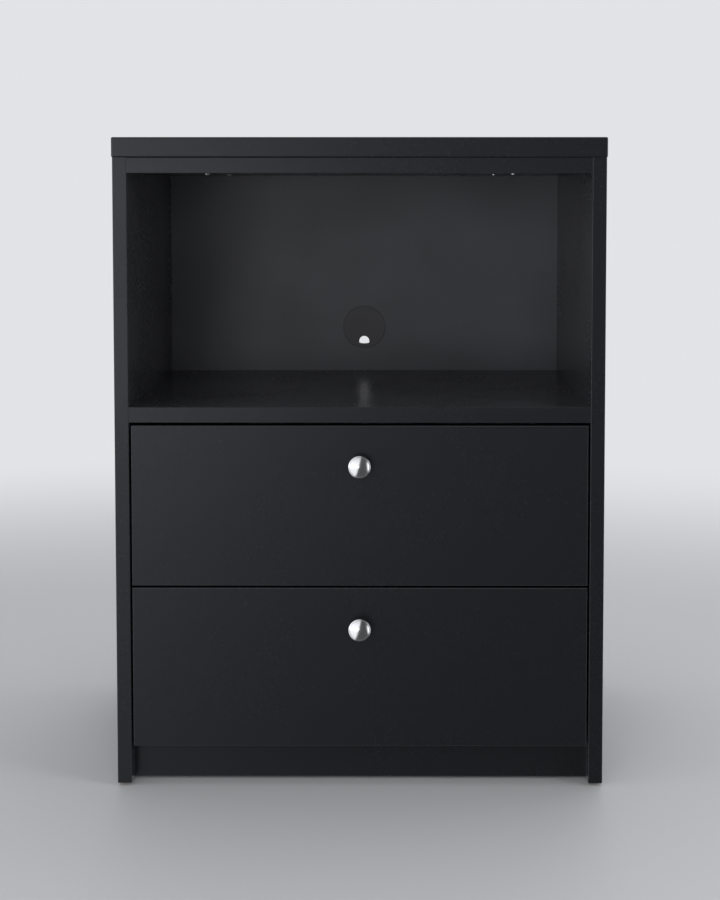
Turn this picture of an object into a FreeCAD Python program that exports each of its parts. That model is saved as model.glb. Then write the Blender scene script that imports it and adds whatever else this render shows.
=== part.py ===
"""Microwave stand: a board carcass with an open microwave niche over two full-extension drawers.

Frame: millimetres, +Z up, front face towards -Y, origin on the floor at the middle of the stand's outline.
The carcass boards meet on cam fittings and dowels. Each drawer is a box with a false front and a turned
knob, carried by a pair of three-part telescopic rails that run on caged balls.
"""

import FreeCAD
import Part

import math
import os

V = FreeCAD.Vector

# ---------------------------------------------------------------- driving dimensions, in millimetres
# Carcass
CARCASS_WIDTH = 660.0  # over the two side panels
CARCASS_DEPTH = 500.0  # side panel, front edge to back edge
SIDE_T = 19.0
DECK_T = 21.0  # ceiling, shelf and bottom boards
NICHE_HEIGHT = 314.0  # clear height for the microwave
WORKTOP_T = 27.0
WORKTOP_SIDE_OVERHANG = 1.0
WORKTOP_FRONT_OVERHANG = 3.0
WORKTOP_CORNER_R = 3.0  # upright corners of the worktop
WORKTOP_EDGE_R = 2.0  # upper and lower rims of the worktop
EDGE_BAND_R = 0.8  # rounding of the edge banding on the other boards
BACK_T = 6.0
BACK_REBATE = 8.0  # how far the back panel reaches into each side panel
CABLE_HOLE_R = 30.0
CABLE_HOLE_RISE = 70.0  # cable hole's centre over the shelf
GROMMET_FLANGE = 4.0  # flange of the grommet past the edge of the cable hole
GROMMET_FLANGE_T = 1.6
GROMMET_EDGE_R = 0.8  # rounding of the flange's rim
GROMMET_WALL = 1.8
GROMMET_LEDGE = 1.6  # ledge under the cap's edge
GROMMET_CAP_T = 1.6
GROMMET_NOTCH_W = 16.0  # notch in the cap for the mains lead
GROMMET_NOTCH_RISE = 14.0  # top of the notch over the cap's lower edge

# Base
GLIDE_H = 4.0
GLIDE_R = 7.0
GLIDE_RIM = 1.0
GLIDE_INSET = 30.0  # glide's centre from the side panel's front or back edge
GLIDE_NAIL_R = 1.2
GLIDE_NAIL_LENGTH = 14.0
PLINTH_T = 19.0
PLINTH_HEIGHT = 58.0
PLINTH_SHOWN = 51.0  # height of plinth that shows under the lower drawer front
PLINTH_RECESS = 29.0

# Drawer fronts and knobs
DRAWER_COUNT = 2
FRONT_HEIGHT = 218.0
FRONT_T = 18.0
FRONT_SIDE_GAP = 3.0
FRONT_GAP = 3.0  # between two drawer fronts
FRONT_TOP_GAP = 4.0  # between the upper front and the shelf
FRONT_SETBACK = 1.0  # drawer fronts behind the carcass edges
FRONT_CLEARANCE = 2.0  # between a drawer front and the bottom board behind it
KNOB_DROP = 53.0  # knob's axis under the front's top edge
KNOB_R = 15.0
KNOB_PROJECTION = 26.0
KNOB_FOOT_R = 8.0
KNOB_NECK_R = 5.5
KNOB_RIM_T = 3.4  # thickness of the head at its rim
KNOB_EDGE_R = 1.2  # rounding of the head's rim
KNOB_DOME = 4.2  # rise of the domed face
KNOB_FOOT_T = 1.6

# Drawer boxes
BOX_HEIGHT = 160.0
BOX_T = 15.0
BOX_CLEARANCE = 8.0  # under the lower box, over the bottom board
BOX_BOTTOM_T = 5.0
BOX_BOTTOM_RISE = 12.0  # groove's lower face over the box's lower edge
GROOVE_DEPTH = 7.0
GROOVE_FIT = 0.2  # play of the bottom in its groove, on each face

# Telescopic rails
RAIL_LENGTH = 450.0
RAIL_START = 2.0  # rail's front end behind the drawer front
RAIL_RISE = 45.0  # rail's centreline over the box's lower edge
RAIL_SPACE = 12.7  # gap that the rails fill beside the box
RAIL_HEIGHT = 46.0
RAIL_SHEET = 1.2
RAIL_CORNER_R = 1.2  # inner rounding of the bends that carry no ball
RAIL_WEB_GAP = 1.0  # between the cabinet rail's web and the middle rail's web
RAIL_LIP = 0.3  # how far each lip runs on past the ball's centre
WINDOW_LENGTH = 60.0  # openings in the middle rail's web
WINDOW_HEIGHT = 14.0
SLOT_LENGTH = 12.0  # spare screw slots in the other rails' webs
SLOT_HEIGHT = 4.6
SLOTS_PER_GAP = 2  # slots between two neighbouring screws
BUMPER_LENGTH = 9.0  # stop at the back of the cabinet rail
BUMPER_HEIGHT = 22.0
BUMPER_OUT = 5.2  # bumper's thickness on the cabinet rail's web
BUMPER_R = 1.6
BUMPER_GAP = 0.4  # between the bumper and the middle rail's end
LEVER_LENGTH = 52.0  # release lever, between the centres of its two round ends
LEVER_PIVOT_R = 5.5
LEVER_TIP_R = 3.2
LEVER_T = 2.4
LEVER_AHEAD = 24.0  # lever's pivot ahead of the drawer rail's middle
BALL_R = 1.5
BALL_PLAY = 0.1  # between a ball and its raceways
OUTER_BALL_OUT = 4.4  # outer balls' centres from the side panel
INNER_BALL_OUT = 7.5  # inner balls' centres from the side panel
BALLS_PER_ROW = 7
CAGE_SHEET = 0.4
CAGE_LENGTH = 150.0
CAGE_END = 15.0  # last ball's centre from the end of the cage
OUTER_CAGE_REACH = 1.4  # cage sheet past the outer balls' centres
INNER_CAGE_REACH = 0.9  # cage sheet past the inner balls' centres
INNER_CAGE_RISE = 0.9  # inner cage's sheet above the balls' centres

# Fasteners
FASTENER_FIT = 0.05  # radial play of a fastener in its hole
HOLE_END = 1.0  # depth left past a fastener's tip
CAM_R = 7.5
CAM_DEPTH = 15.0
CAM_INSET = 34.0  # cam's axis from the end of its board
CAM_EDGE = 60.0  # cam's axis from the front or back edge of its board
CAM_SLOT_W = 2.0
CAM_SLOT_LENGTH = 10.5
CAM_SLOT_DEPTH = 2.5
CAM_BOLT_R = 3.5
CAM_BOLT_NECK_R = 2.0
CAM_BOLT_THREAD_R = 2.5
CAM_BOLT_THREAD = 11.0  # bolt's length in the side panel
CAM_BOLT_POINT = 1.0  # taper at the tip of the bolt's thread
CAM_BOLT_HEAD = 3.0
DOWEL_R = 4.0
DOWEL_LENGTH = 30.0
DOWEL_IN_SIDE = 11.0
DOWEL_CHAMFER = 0.8
PLINTH_DOWEL_EDGE = 14.5  # dowels from a plinth's lower and upper edges

# Heads are given as (radius, height). The lengths of these two follow from what they go through.
BOARD_SCREW_R = 2.0  # worktop and drawer front screws
BOARD_SCREW_HEAD = (4.2, 2.8)
KNOB_SCREW_R = 2.0
KNOB_SCREW_HEAD = (4.5, 2.5)
KNOB_SCREW_BITE = 9.0
PAN_RIM_SHARE = 0.3  # upright rim of a pan head, as a share of the head's height

# Screws: shank radius, length with the head, head radius and head height
PANEL_SCREW = (1.5, 18.0, 3.2, 1.8)  # back panel and box bottom screws
RAIL_SCREW = (1.6, 13.0, 3.2, 1.1)
BOX_SCREW = (2.2, 45.0, 4.0, 2.6)
FRONT_SCREW_IN_FRONT = 12.0  # length that a front's screws reach into the false front
WORKTOP_SCREW_IN_TOP = 17.0  # length that a worktop screw reaches into the worktop
FRONT_TOP_SCREW_OUT = 211.0  # front worktop screws to each side of the middle
FRONT_TOP_SCREW_Y = 79.0  # front worktop screws behind the board's front edge
BACK_TOP_SCREW_OUT = 192.0
BACK_TOP_SCREW_Y = 207.0
FRONT_SCREW_OUT = 215.0
FRONT_SCREW_EDGE = 32.0  # front screws from the box's upper and lower edges
BOX_SCREW_DROPS = (25.0, 80.0)  # box screws under the box's upper edge
BOTTOM_SCREW_OUT = 200.0
BACK_SCREW_EDGE = 4.0  # back panel screws from the side panel's inner face
SIDE_SCREW_COUNT = 5  # back panel screws up each side
DECK_SCREW_COUNT = 3  # back panel screws along each board
RAIL_SCREW_END = 40.0  # rail screws from the rail's ends
RAIL_SCREWS = 3

# ---------------------------------------------------------------- places that follow from them
FRONT_Y = (KNOB_PROJECTION - FRONT_SETBACK - CARCASS_DEPTH) / 2
BACK_Y = FRONT_Y + CARCASS_DEPTH
PANEL_Y = BACK_Y - BACK_T  # front face of the back panel
INNER_X = CARCASS_WIDTH / 2 - SIDE_T
SIDE_BOTTOM = GLIDE_H
LOWER_FRONT_Z = SIDE_BOTTOM + PLINTH_SHOWN
FRONT_PITCH = FRONT_HEIGHT + FRONT_GAP
SHELF_Z = LOWER_FRONT_Z + DRAWER_COUNT * FRONT_PITCH - FRONT_GAP + FRONT_TOP_GAP
CEILING_Z = SHELF_Z + DECK_T + NICHE_HEIGHT
SIDE_TOP = CEILING_Z + DECK_T
BOTTOM_Z = SIDE_BOTTOM + PLINTH_HEIGHT
BOX_RISE = BOTTOM_Z + DECK_T + BOX_CLEARANCE - LOWER_FRONT_Z  # box's lower edge over the front's
FRONT_BACK_Y = FRONT_Y + FRONT_SETBACK + FRONT_T  # back face of the drawer fronts
BOTTOM_DECK_Y = FRONT_BACK_Y + FRONT_CLEARANCE
BOX_X = INNER_X - RAIL_SPACE
RAIL_Y = FRONT_BACK_Y + RAIL_START
BOX_BACK_Y = RAIL_Y + RAIL_LENGTH
MIDDLE_RAIL_LENGTH = RAIL_LENGTH - BUMPER_LENGTH - BUMPER_GAP

RACE_R = BALL_R + BALL_PLAY + RAIL_SHEET / 2  # centreline of a bend that carries a ball
BEND_R = RAIL_CORNER_R + RAIL_SHEET / 2
OUTER_FLANGE = RAIL_HEIGHT / 2 - RAIL_SHEET / 2
OUTER_BALL_Z = OUTER_FLANGE - RACE_R
MIDDLE_FLANGE = OUTER_BALL_Z - RACE_R
INNER_BALL_Z = MIDDLE_FLANGE - RACE_R
INNER_FLANGE = INNER_BALL_Z - RACE_R
OUTER_WEB = RAIL_SHEET / 2
MIDDLE_WEB = RAIL_SHEET + RAIL_WEB_GAP + RAIL_SHEET / 2
INNER_WEB = RAIL_SPACE - RAIL_SHEET / 2

LEFT, RIGHT = -1, 1
SIDES = {"left": LEFT, "right": RIGHT}
DRAWERS = ["lower", "upper"]


# ---------------------------------------------------------------- helpers
TOUCH = 1e-6  # lengths that differ by less are the same


def block(x0, x1, y0, y1, z0, z1):
    """A box between two corners, given in any order."""
    low = V(min(x0, x1), min(y0, y1), min(z0, z1))
    return Part.makeBox(abs(x1 - x0), abs(y1 - y0), abs(z1 - z0), low)


def rounded(shape, radius, chosen):
    """shape with the edges that chosen picks rounded, as edge banding is."""
    edges = [e for e in shape.Edges if chosen(e.BoundBox)]
    return shape.makeFillet(radius, edges)


def at(value, wanted):
    return abs(value - wanted) < TOUCH


def along_x(bound):
    return bound.YLength < TOUCH and bound.ZLength < TOUCH


def along_y(bound):
    return bound.XLength < TOUCH and bound.ZLength < TOUCH


def along_z(bound):
    return bound.XLength < TOUCH and bound.YLength < TOUCH


def rod(radius, length, foot, direction):
    return Part.makeCylinder(radius, length, foot, direction)


def turned(points, foot, direction):
    """A solid of revolution. points are (radius, height) pairs up the axis, or ("arc", mid, end) steps."""
    edges = []
    here = V(points[0][0], 0, points[0][1])
    for step in points[1:]:
        if step[0] == "arc":
            mid, end = (V(r, 0, h) for r, h in step[1:])
            edges.append(Part.Arc(here, mid, end).toShape())
        else:
            end = V(step[0], 0, step[1])
            edges.append(Part.LineSegment(here, end).toShape())
        here = end
    edges.append(Part.LineSegment(here, V(points[0][0], 0, points[0][1])).toShape())
    solid = Part.Face(Part.Wire(edges)).revolve(V(0, 0, 0), V(0, 0, 1), 360)
    solid.Placement = FreeCAD.Placement(foot, FreeCAD.Rotation(V(0, 0, 1), direction))
    return solid


def cap(radius, base, apex):
    """Arc step of a spherical cap, from radius at height base to the axis at height apex."""
    rise = apex - base
    sphere_r = (radius**2 + rise**2) / (2 * abs(rise))
    half_angle = math.asin(radius / sphere_r) / 2
    mid_height = apex - math.copysign(sphere_r * (1 - math.cos(half_angle)), rise)
    return ("arc", (sphere_r * math.sin(half_angle), mid_height), (0, apex))


def sweep(start, centre, end):
    """Arc step from start to end round centre, the short way. All are (radius, height)."""
    a = V(start[0] - centre[0], start[1] - centre[1], 0)
    b = V(end[0] - centre[0], end[1] - centre[1], 0)
    middle = (a + b).normalize() * a.Length
    return ("arc", (centre[0] + middle.x, centre[1] + middle.y), end)


def pan_screw(size, foot, direction):
    """A screw with a low domed head. foot is the seat under the head, and direction is the way it drives."""
    shank_r, length, head_r, head_h = size
    tip = length - shank_r
    rim = head_h * PAN_RIM_SHARE
    shank = [(0, length), (shank_r, tip), (shank_r, 0)]
    head = [(head_r, 0), (head_r, -rim), cap(head_r, -rim, -head_h)]
    return turned(shank + head, foot, direction)


def flat_screw(size, foot, direction):
    """A countersunk screw. foot is the middle of its flat head, level with the face, and it drives inward."""
    shank_r, length, head_r, head_h = size
    tip = length - shank_r
    outline = [(0, length), (shank_r, tip), (shank_r, head_h), (head_r, 0), (0, 0)]
    return turned(outline, foot, direction)


def pan_screw_hole(size, foot, direction):
    shank_r, length = size[:2]
    return rod(shank_r + FASTENER_FIT, length + HOLE_END, foot, direction)


def flat_screw_hole(size, foot, direction):
    shank_r, length, head_r, head_h = size
    r = shank_r + FASTENER_FIT
    deep = length + HOLE_END
    outline = [(0, deep), (r, deep), (r, head_h), (head_r + FASTENER_FIT, 0), (0, 0)]
    return turned(outline, foot, direction)


def drilled(shape, holes):
    return shape.cut(holes) if holes else shape


def spread(low, high, count):
    """count places evenly spaced from low to high."""
    return [low + (high - low) * i / (count - 1) for i in range(count)]


# ---------------------------------------------------------------- carcass fasteners
def decks():
    """(name, lower face, front edge, side that the cams open to) of each fixed horizontal board."""
    return [
        ("bottom_deck", BOTTOM_Z, BOTTOM_DECK_Y, -1),
        ("microwave_shelf", SHELF_Z, FRONT_Y, -1),
        ("ceiling_deck", CEILING_Z, FRONT_Y, 1),
    ]


def cam_places():
    """(side, y, board's lower face, opening side) of every cam fitting."""
    return [
        (side, y, z, up)
        for _, z, front, up in decks()
        for y in (front + CAM_EDGE, PANEL_Y - CAM_EDGE)
        for side in SIDES.values()
    ]


def cam_disc(side, y, z, up):
    """Eccentric disc let into a board's face, with a screwdriver slot in its outer face."""
    face = z + DECK_T if up > 0 else z
    foot = V(side * (INNER_X - CAM_INSET), y, face)
    disc = rod(CAM_R, CAM_DEPTH, foot, V(0, 0, -up))
    past_middle = V(foot.x - side * CAM_BOLT_HEAD, y, z + DECK_T / 2)
    bolt_room = rod(CAM_BOLT_R + FASTENER_FIT, CAM_R + CAM_BOLT_HEAD, past_middle, V(side, 0, 0))
    slots = [
        block(foot.x - a, foot.x + a, y - b, y + b, face, face - up * CAM_SLOT_DEPTH)
        for a, b in ((CAM_SLOT_LENGTH / 2, CAM_SLOT_W / 2), (CAM_SLOT_W / 2, CAM_SLOT_LENGTH / 2))
    ]
    return disc.cut([bolt_room] + slots)


def cam_hole(side, y, z, up):
    face = z + DECK_T if up > 0 else z
    disc = rod(CAM_R + FASTENER_FIT, CAM_DEPTH, V(side * (INNER_X - CAM_INSET), y, face), V(0, 0, -up))
    bolt = rod(CAM_BOLT_R + FASTENER_FIT, CAM_INSET, V(side * INNER_X, y, z + DECK_T / 2), V(-side, 0, 0))
    return disc.fuse(bolt)


def cam_bolt(side, y, z):
    """Bolt that screws into the side panel and is drawn in by the cam."""
    reach = CAM_INSET + CAM_BOLT_HEAD - HOLE_END
    neck = reach - 2 * CAM_BOLT_HEAD
    outline = [
        (0, -CAM_BOLT_THREAD),
        (CAM_BOLT_THREAD_R, -CAM_BOLT_THREAD + CAM_BOLT_POINT),
        (CAM_BOLT_THREAD_R, 0),
        (CAM_BOLT_R, 0),
        (CAM_BOLT_R, neck - CAM_BOLT_HEAD),
        (CAM_BOLT_NECK_R, neck - CAM_BOLT_HEAD),
        (CAM_BOLT_NECK_R, neck + CAM_BOLT_HEAD),
        (CAM_BOLT_R, neck + CAM_BOLT_HEAD),
        (CAM_BOLT_R, reach),
        (0, reach),
    ]
    return turned(outline, V(side * INNER_X, y, z + DECK_T / 2), V(-side, 0, 0))


def cam_bolt_hole(side, y, z):
    """Hole in the side panel for a cam bolt's thread."""
    foot = V(side * INNER_X, y, z + DECK_T / 2)
    return rod(CAM_BOLT_THREAD_R + FASTENER_FIT, CAM_BOLT_THREAD + HOLE_END, foot, V(side, 0, 0))


def dowel_places():
    """(side, y, z) of every dowel between a side panel and a board or plinth."""
    places = []
    for side in SIDES.values():
        for _, z, front, _ in decks():
            places.append((side, (front + PANEL_Y) / 2, z + DECK_T / 2))
        for y in plinth_fronts():
            for z in (SIDE_BOTTOM + PLINTH_DOWEL_EDGE, BOTTOM_Z - PLINTH_DOWEL_EDGE):
                places.append((side, y + PLINTH_T / 2, z))
    return places


def dowel(side, y, z):
    blunt_r = DOWEL_R - DOWEL_CHAMFER
    outline = [
        (0, 0),
        (blunt_r, 0),
        (DOWEL_R, DOWEL_CHAMFER),
        (DOWEL_R, DOWEL_LENGTH - DOWEL_CHAMFER),
        (blunt_r, DOWEL_LENGTH),
        (0, DOWEL_LENGTH),
    ]
    return turned(outline, V(side * (INNER_X + DOWEL_IN_SIDE), y, z), V(-side, 0, 0))


def dowel_hole(side, y, z):
    foot = V(side * (INNER_X + DOWEL_IN_SIDE + HOLE_END), y, z)
    return rod(DOWEL_R + FASTENER_FIT, DOWEL_LENGTH + 2 * HOLE_END, foot, V(-side, 0, 0))


def glide_places():
    middle = CARCASS_WIDTH / 2 - SIDE_T / 2
    ends = [FRONT_Y + GLIDE_INSET, BACK_Y - GLIDE_INSET]
    return [(side, V(side * middle, y, 0)) for side in SIDES.values() for y in ends]


def glide(foot):
    """Nail-on floor glide: a disc with a rounded rim, and its nail."""
    tip = GLIDE_H + GLIDE_NAIL_LENGTH
    outline = [
        (0, 0),
        (GLIDE_R - GLIDE_RIM, 0),
        sweep((GLIDE_R - GLIDE_RIM, 0), (GLIDE_R - GLIDE_RIM, GLIDE_RIM), (GLIDE_R, GLIDE_RIM)),
        (GLIDE_R, GLIDE_H),
        (GLIDE_NAIL_R, GLIDE_H),
        (GLIDE_NAIL_R, tip - GLIDE_NAIL_R),
        (0, tip),
    ]
    return turned(outline, foot, V(0, 0, 1))


def glide_hole(foot):
    mouth = V(foot.x, foot.y, GLIDE_H)
    return rod(GLIDE_NAIL_R + FASTENER_FIT, GLIDE_NAIL_LENGTH + HOLE_END, mouth, V(0, 0, 1))


def worktop_screw_places():
    pairs = [(FRONT_TOP_SCREW_OUT, FRONT_TOP_SCREW_Y), (BACK_TOP_SCREW_OUT, BACK_TOP_SCREW_Y)]
    return [V(side * out, FRONT_Y + y, CEILING_Z) for side in SIDES.values() for out, y in pairs]


def worktop_screw_size():
    return (BOARD_SCREW_R, DECK_T + WORKTOP_SCREW_IN_TOP, *BOARD_SCREW_HEAD)


def back_screw_places():
    """Places on the back panel's outer face, up both sides and along the boards behind it."""
    up = spread(BOTTOM_Z + CAM_EDGE, SIDE_TOP - CAM_EDGE, SIDE_SCREW_COUNT)
    places = [V(side * (INNER_X + BACK_SCREW_EDGE), BACK_Y, z) for side in SIDES.values() for z in up]
    across = spread(-INNER_X / 2, INNER_X / 2, DECK_SCREW_COUNT)
    return places + [V(x, BACK_Y, z + DECK_T / 2) for _, z, _, _ in decks() for x in across]


# ---------------------------------------------------------------- carcass boards
def plinth_fronts():
    """Front faces of the front and rear plinths."""
    return [FRONT_Y + PLINTH_RECESS, PANEL_Y - PLINTH_T]


def side_panel(side):
    """Upright side, rebated for the back panel and drilled for its fittings."""
    inner, outer = side * INNER_X, side * CARCASS_WIDTH / 2
    board = block(inner, outer, FRONT_Y, BACK_Y, SIDE_BOTTOM, SIDE_TOP)
    board = rounded(board, EDGE_BAND_R, lambda b: along_z(b) and at(b.YMin, FRONT_Y))
    rebate = block(inner, side * (INNER_X + BACK_REBATE), PANEL_Y, BACK_Y, BOTTOM_Z, SIDE_TOP)
    holes = [rebate]
    holes += [cam_bolt_hole(s, y, z) for s, y, z, _ in cam_places() if s == side]
    holes += [dowel_hole(*place) for place in dowel_places() if place[0] == side]
    holes += [glide_hole(foot) for s, foot in glide_places() if s == side]
    back_screws = [p for p in back_screw_places() if p.x * side > INNER_X]
    holes += [flat_screw_hole(PANEL_SCREW, p, V(0, -1, 0)) for p in back_screws]
    rail_screws = [p for s, p in cabinet_rail_screw_places() if s == side]
    holes += [flat_screw_hole(RAIL_SCREW, p, V(side, 0, 0)) for p in rail_screws]
    return drilled(board, holes)


def deck(name, z, front):
    """Fixed horizontal board between the side panels."""
    board = block(-INNER_X, INNER_X, front, PANEL_Y, z, z + DECK_T)
    board = rounded(board, EDGE_BAND_R, lambda b: along_x(b) and at(b.YMin, front))
    holes = [cam_hole(*place) for place in cam_places() if at(place[2], z)]
    holes += [dowel_hole(*place) for place in dowel_places() if at(place[2], z + DECK_T / 2)]
    back_screws = [p for p in back_screw_places() if abs(p.x) < INNER_X and at(p.z, z + DECK_T / 2)]
    holes += [flat_screw_hole(PANEL_SCREW, p, V(0, -1, 0)) for p in back_screws]
    if name == "ceiling_deck":
        holes += [pan_screw_hole(worktop_screw_size(), p, V(0, 0, 1)) for p in worktop_screw_places()]
    return drilled(board, holes)


def worktop():
    """Overlaid top board with rounded upright corners and soft rims."""
    half = CARCASS_WIDTH / 2 + WORKTOP_SIDE_OVERHANG
    front = FRONT_Y - WORKTOP_FRONT_OVERHANG
    board = block(-half, half, front, BACK_Y, SIDE_TOP, SIDE_TOP + WORKTOP_T)
    board = rounded(board, WORKTOP_CORNER_R, lambda b: along_z(b) and at(b.YMin, front))
    board = rounded(board, WORKTOP_EDGE_R, lambda b: b.ZLength < TOUCH and not at(b.YMin, BACK_Y))
    holes = [pan_screw_hole(worktop_screw_size(), p, V(0, 0, 1)) for p in worktop_screw_places()]
    return drilled(board, holes)


def back_panel():
    """Thin back, let into the sides' rebates, with a cable hole behind the microwave."""
    half = INNER_X + BACK_REBATE
    board = block(-half, half, PANEL_Y, BACK_Y, BOTTOM_Z, SIDE_TOP)
    holes = [rod(CABLE_HOLE_R, BACK_T, cable_hole_place(), V(0, 1, 0))]
    holes += [flat_screw_hole(PANEL_SCREW, p, V(0, -1, 0)) for p in back_screw_places()]
    return drilled(board, holes)


def cable_hole_place():
    """Middle of the cable hole, on the back panel's front face."""
    return V(0, PANEL_Y, SHELF_Z + DECK_T + CABLE_HOLE_RISE)


def grommet_face():
    """Middle of the grommet's front face."""
    return cable_hole_place() - V(0, GROMMET_FLANGE_T, 0)


def grommet_ring():
    """Flanged ring that lines the cable hole, with a ledge inside that the cap rests on."""
    flange_r = CABLE_HOLE_R + GROMMET_FLANGE
    barrel_r = CABLE_HOLE_R - FASTENER_FIT
    seat_r = CABLE_HOLE_R - GROMMET_WALL
    rounding = flange_r - GROMMET_EDGE_R
    end = GROMMET_FLANGE_T + BACK_T
    outline = [
        (seat_r, 0),
        (rounding, 0),
        sweep((rounding, 0), (rounding, GROMMET_EDGE_R), (flange_r, GROMMET_EDGE_R)),
        (flange_r, GROMMET_FLANGE_T),
        (barrel_r, GROMMET_FLANGE_T),
        (barrel_r, end),
        (seat_r - GROMMET_LEDGE, end),
        (seat_r - GROMMET_LEDGE, GROMMET_CAP_T),
        (seat_r, GROMMET_CAP_T),
    ]
    return turned(outline, grommet_face(), V(0, 1, 0))


def grommet_cap():
    """Cap that clips into the ring, with a round-ended notch at the bottom for the mains lead."""
    face = grommet_face()
    cap_r = CABLE_HOLE_R - GROMMET_WALL - FASTENER_FIT
    notch_r = GROMMET_NOTCH_W / 2
    low = face.z - cap_r
    notch_z = low + GROMMET_NOTCH_RISE - notch_r
    notch_end = rod(notch_r, GROMMET_CAP_T, V(face.x, face.y, notch_z), V(0, 1, 0))
    notch = block(-notch_r, notch_r, face.y, face.y + GROMMET_CAP_T, low, notch_z)
    return rod(cap_r, GROMMET_CAP_T, face, V(0, 1, 0)).cut([notch_end, notch])


def plinth(front):
    board = block(-INNER_X, INNER_X, front, front + PLINTH_T, SIDE_BOTTOM, BOTTOM_Z)
    middle = front + PLINTH_T / 2
    return drilled(board, [dowel_hole(*place) for place in dowel_places() if at(place[1], middle)])


# ---------------------------------------------------------------- telescopic rails
def strip_outline(points, bends, thickness):
    """Closed outline of a bent strip. points run along its middle, and bends are the radii between them."""
    runs = [(b - a).normalize() for a, b in zip(points, points[1:])]
    normals = [V(-d.y, d.x, 0) for d in runs]

    def offset_path(shift):
        edges, here = [], points[0] + normals[0] * shift
        for i, radius in enumerate(bends):
            turn = math.atan2(runs[i].cross(runs[i + 1]).z, runs[i].dot(runs[i + 1]))
            tangent = radius * math.tan(abs(turn) / 2)
            corner = points[i + 1]
            start = corner - runs[i] * tangent
            centre = start + normals[i] * math.copysign(radius, turn)
            first = start + normals[i] * shift
            last = corner + runs[i + 1] * tangent + normals[i + 1] * shift
            outward = (corner - centre).normalize()
            middle = centre + outward * (first - centre).Length
            edges.append(Part.LineSegment(here, first).toShape())
            edges.append(Part.Arc(first, middle, last).toShape())
            here = last
        end = points[-1] + normals[-1] * shift
        edges.append(Part.LineSegment(here, end).toShape())
        return edges, end

    left, left_end = offset_path(thickness / 2)
    right, right_end = offset_path(-thickness / 2)
    half = normals[0] * thickness / 2
    start_cap = Part.LineSegment(points[0] + half, points[0] - half)
    end_cap = Part.LineSegment(left_end, right_end)
    return Part.Wire(Part.__sortEdges__(left + right + [start_cap.toShape(), end_cap.toShape()]))


def rolled(profile, bends, thickness, side, z, y, length):
    """A rolled section along +Y. profile points are (distance out from the side panel, height)."""
    outline = strip_outline([V(out, up, 0) for out, up in profile], bends, thickness)
    solid = Part.Face(outline).extrude(V(0, 0, length))
    # Stands the section up: its height becomes +Z and its length runs along Y.
    solid.rotate(V(0, 0, 0), V(1, 0, 0), 90)
    if side == RIGHT:
        solid = solid.mirror(V(0, 0, 0), V(1, 0, 0))
    solid.translate(V(side * INNER_X, y + length, z))
    return solid


def rail_z(drawer):
    """Height of a drawer's rails."""
    return box_z(drawer) + RAIL_RISE


def rail_screw_ys():
    return spread(RAIL_Y + RAIL_SCREW_END, RAIL_Y + RAIL_LENGTH - RAIL_SCREW_END, RAIL_SCREWS)


def cabinet_rail_screw_places():
    x = INNER_X - RAIL_SHEET
    return [
        (side, V(side * x, y, rail_z(drawer)))
        for drawer in range(DRAWER_COUNT)
        for side in SIDES.values()
        for y in rail_screw_ys()
    ]


def drawer_rail_screw_places(drawer):
    x = INNER_X - RAIL_SPACE + RAIL_SHEET
    return [(side, V(side * x, y, rail_z(drawer))) for side in SIDES.values() for y in rail_screw_ys()]


def cabinet_rail(side, drawer):
    """Fixed C section. Each lip curls over the outer balls."""
    lip = OUTER_BALL_OUT + RACE_R
    tip = OUTER_BALL_Z - RAIL_LIP
    profile = [(lip, -tip), (lip, -OUTER_FLANGE), (OUTER_WEB, -OUTER_FLANGE)]
    profile += [(out, -up) for out, up in reversed(profile)]
    z = rail_z(drawer)
    section = rolled(profile, [RACE_R, BEND_R, BEND_R, RACE_R], RAIL_SHEET, side, z, RAIL_Y, RAIL_LENGTH)
    screws = [p for s, p in cabinet_rail_screw_places() if s == side and at(p.z, z)]
    holes = [flat_screw_hole(RAIL_SCREW, p, V(side, 0, 0)) for p in screws]
    return drilled(section, holes + spare_slots(side * (INNER_X - OUTER_WEB), z))


def middle_rail(side, drawer):
    """Intermediate C section between the two ball races, with windows in its web."""
    lip = INNER_BALL_OUT + RACE_R
    tip = INNER_BALL_Z - RAIL_LIP
    profile = [(lip, -tip), (lip, -MIDDLE_FLANGE), (MIDDLE_WEB, -MIDDLE_FLANGE)]
    profile += [(out, -up) for out, up in reversed(profile)]
    z = rail_z(drawer)
    bends = [RACE_R, BEND_R, BEND_R, RACE_R]
    section = rolled(profile, bends, RAIL_SHEET, side, z, RAIL_Y, MIDDLE_RAIL_LENGTH)
    web_x = side * (INNER_X - MIDDLE_WEB)
    return drilled(section, [slot(web_x, y, z, WINDOW_LENGTH, WINDOW_HEIGHT) for y in rail_screw_ys()])


def slot(web_x, y, z, length, height):
    """Cutter for a round-ended opening along a rail's web."""
    end_r = height / 2
    straight = length / 2 - end_r
    deep = RAIL_SHEET
    bar = block(web_x - deep, web_x + deep, y - straight, y + straight, z - end_r, z + end_r)
    ends = [rod(end_r, 2 * deep, V(web_x - deep, y + e, z), V(1, 0, 0)) for e in (-straight, straight)]
    return bar.fuse(ends)


def spare_slots(web_x, z):
    """Cutters for the unused screw slots, spread between the screws."""
    screws = rail_screw_ys()
    gaps = list(zip(screws, screws[1:]))
    places = [y for a, b in gaps for y in spread(a, b, SLOTS_PER_GAP + 2)[1:-1]]
    return [slot(web_x, y, z, SLOT_LENGTH, SLOT_HEIGHT) for y in places]


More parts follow.
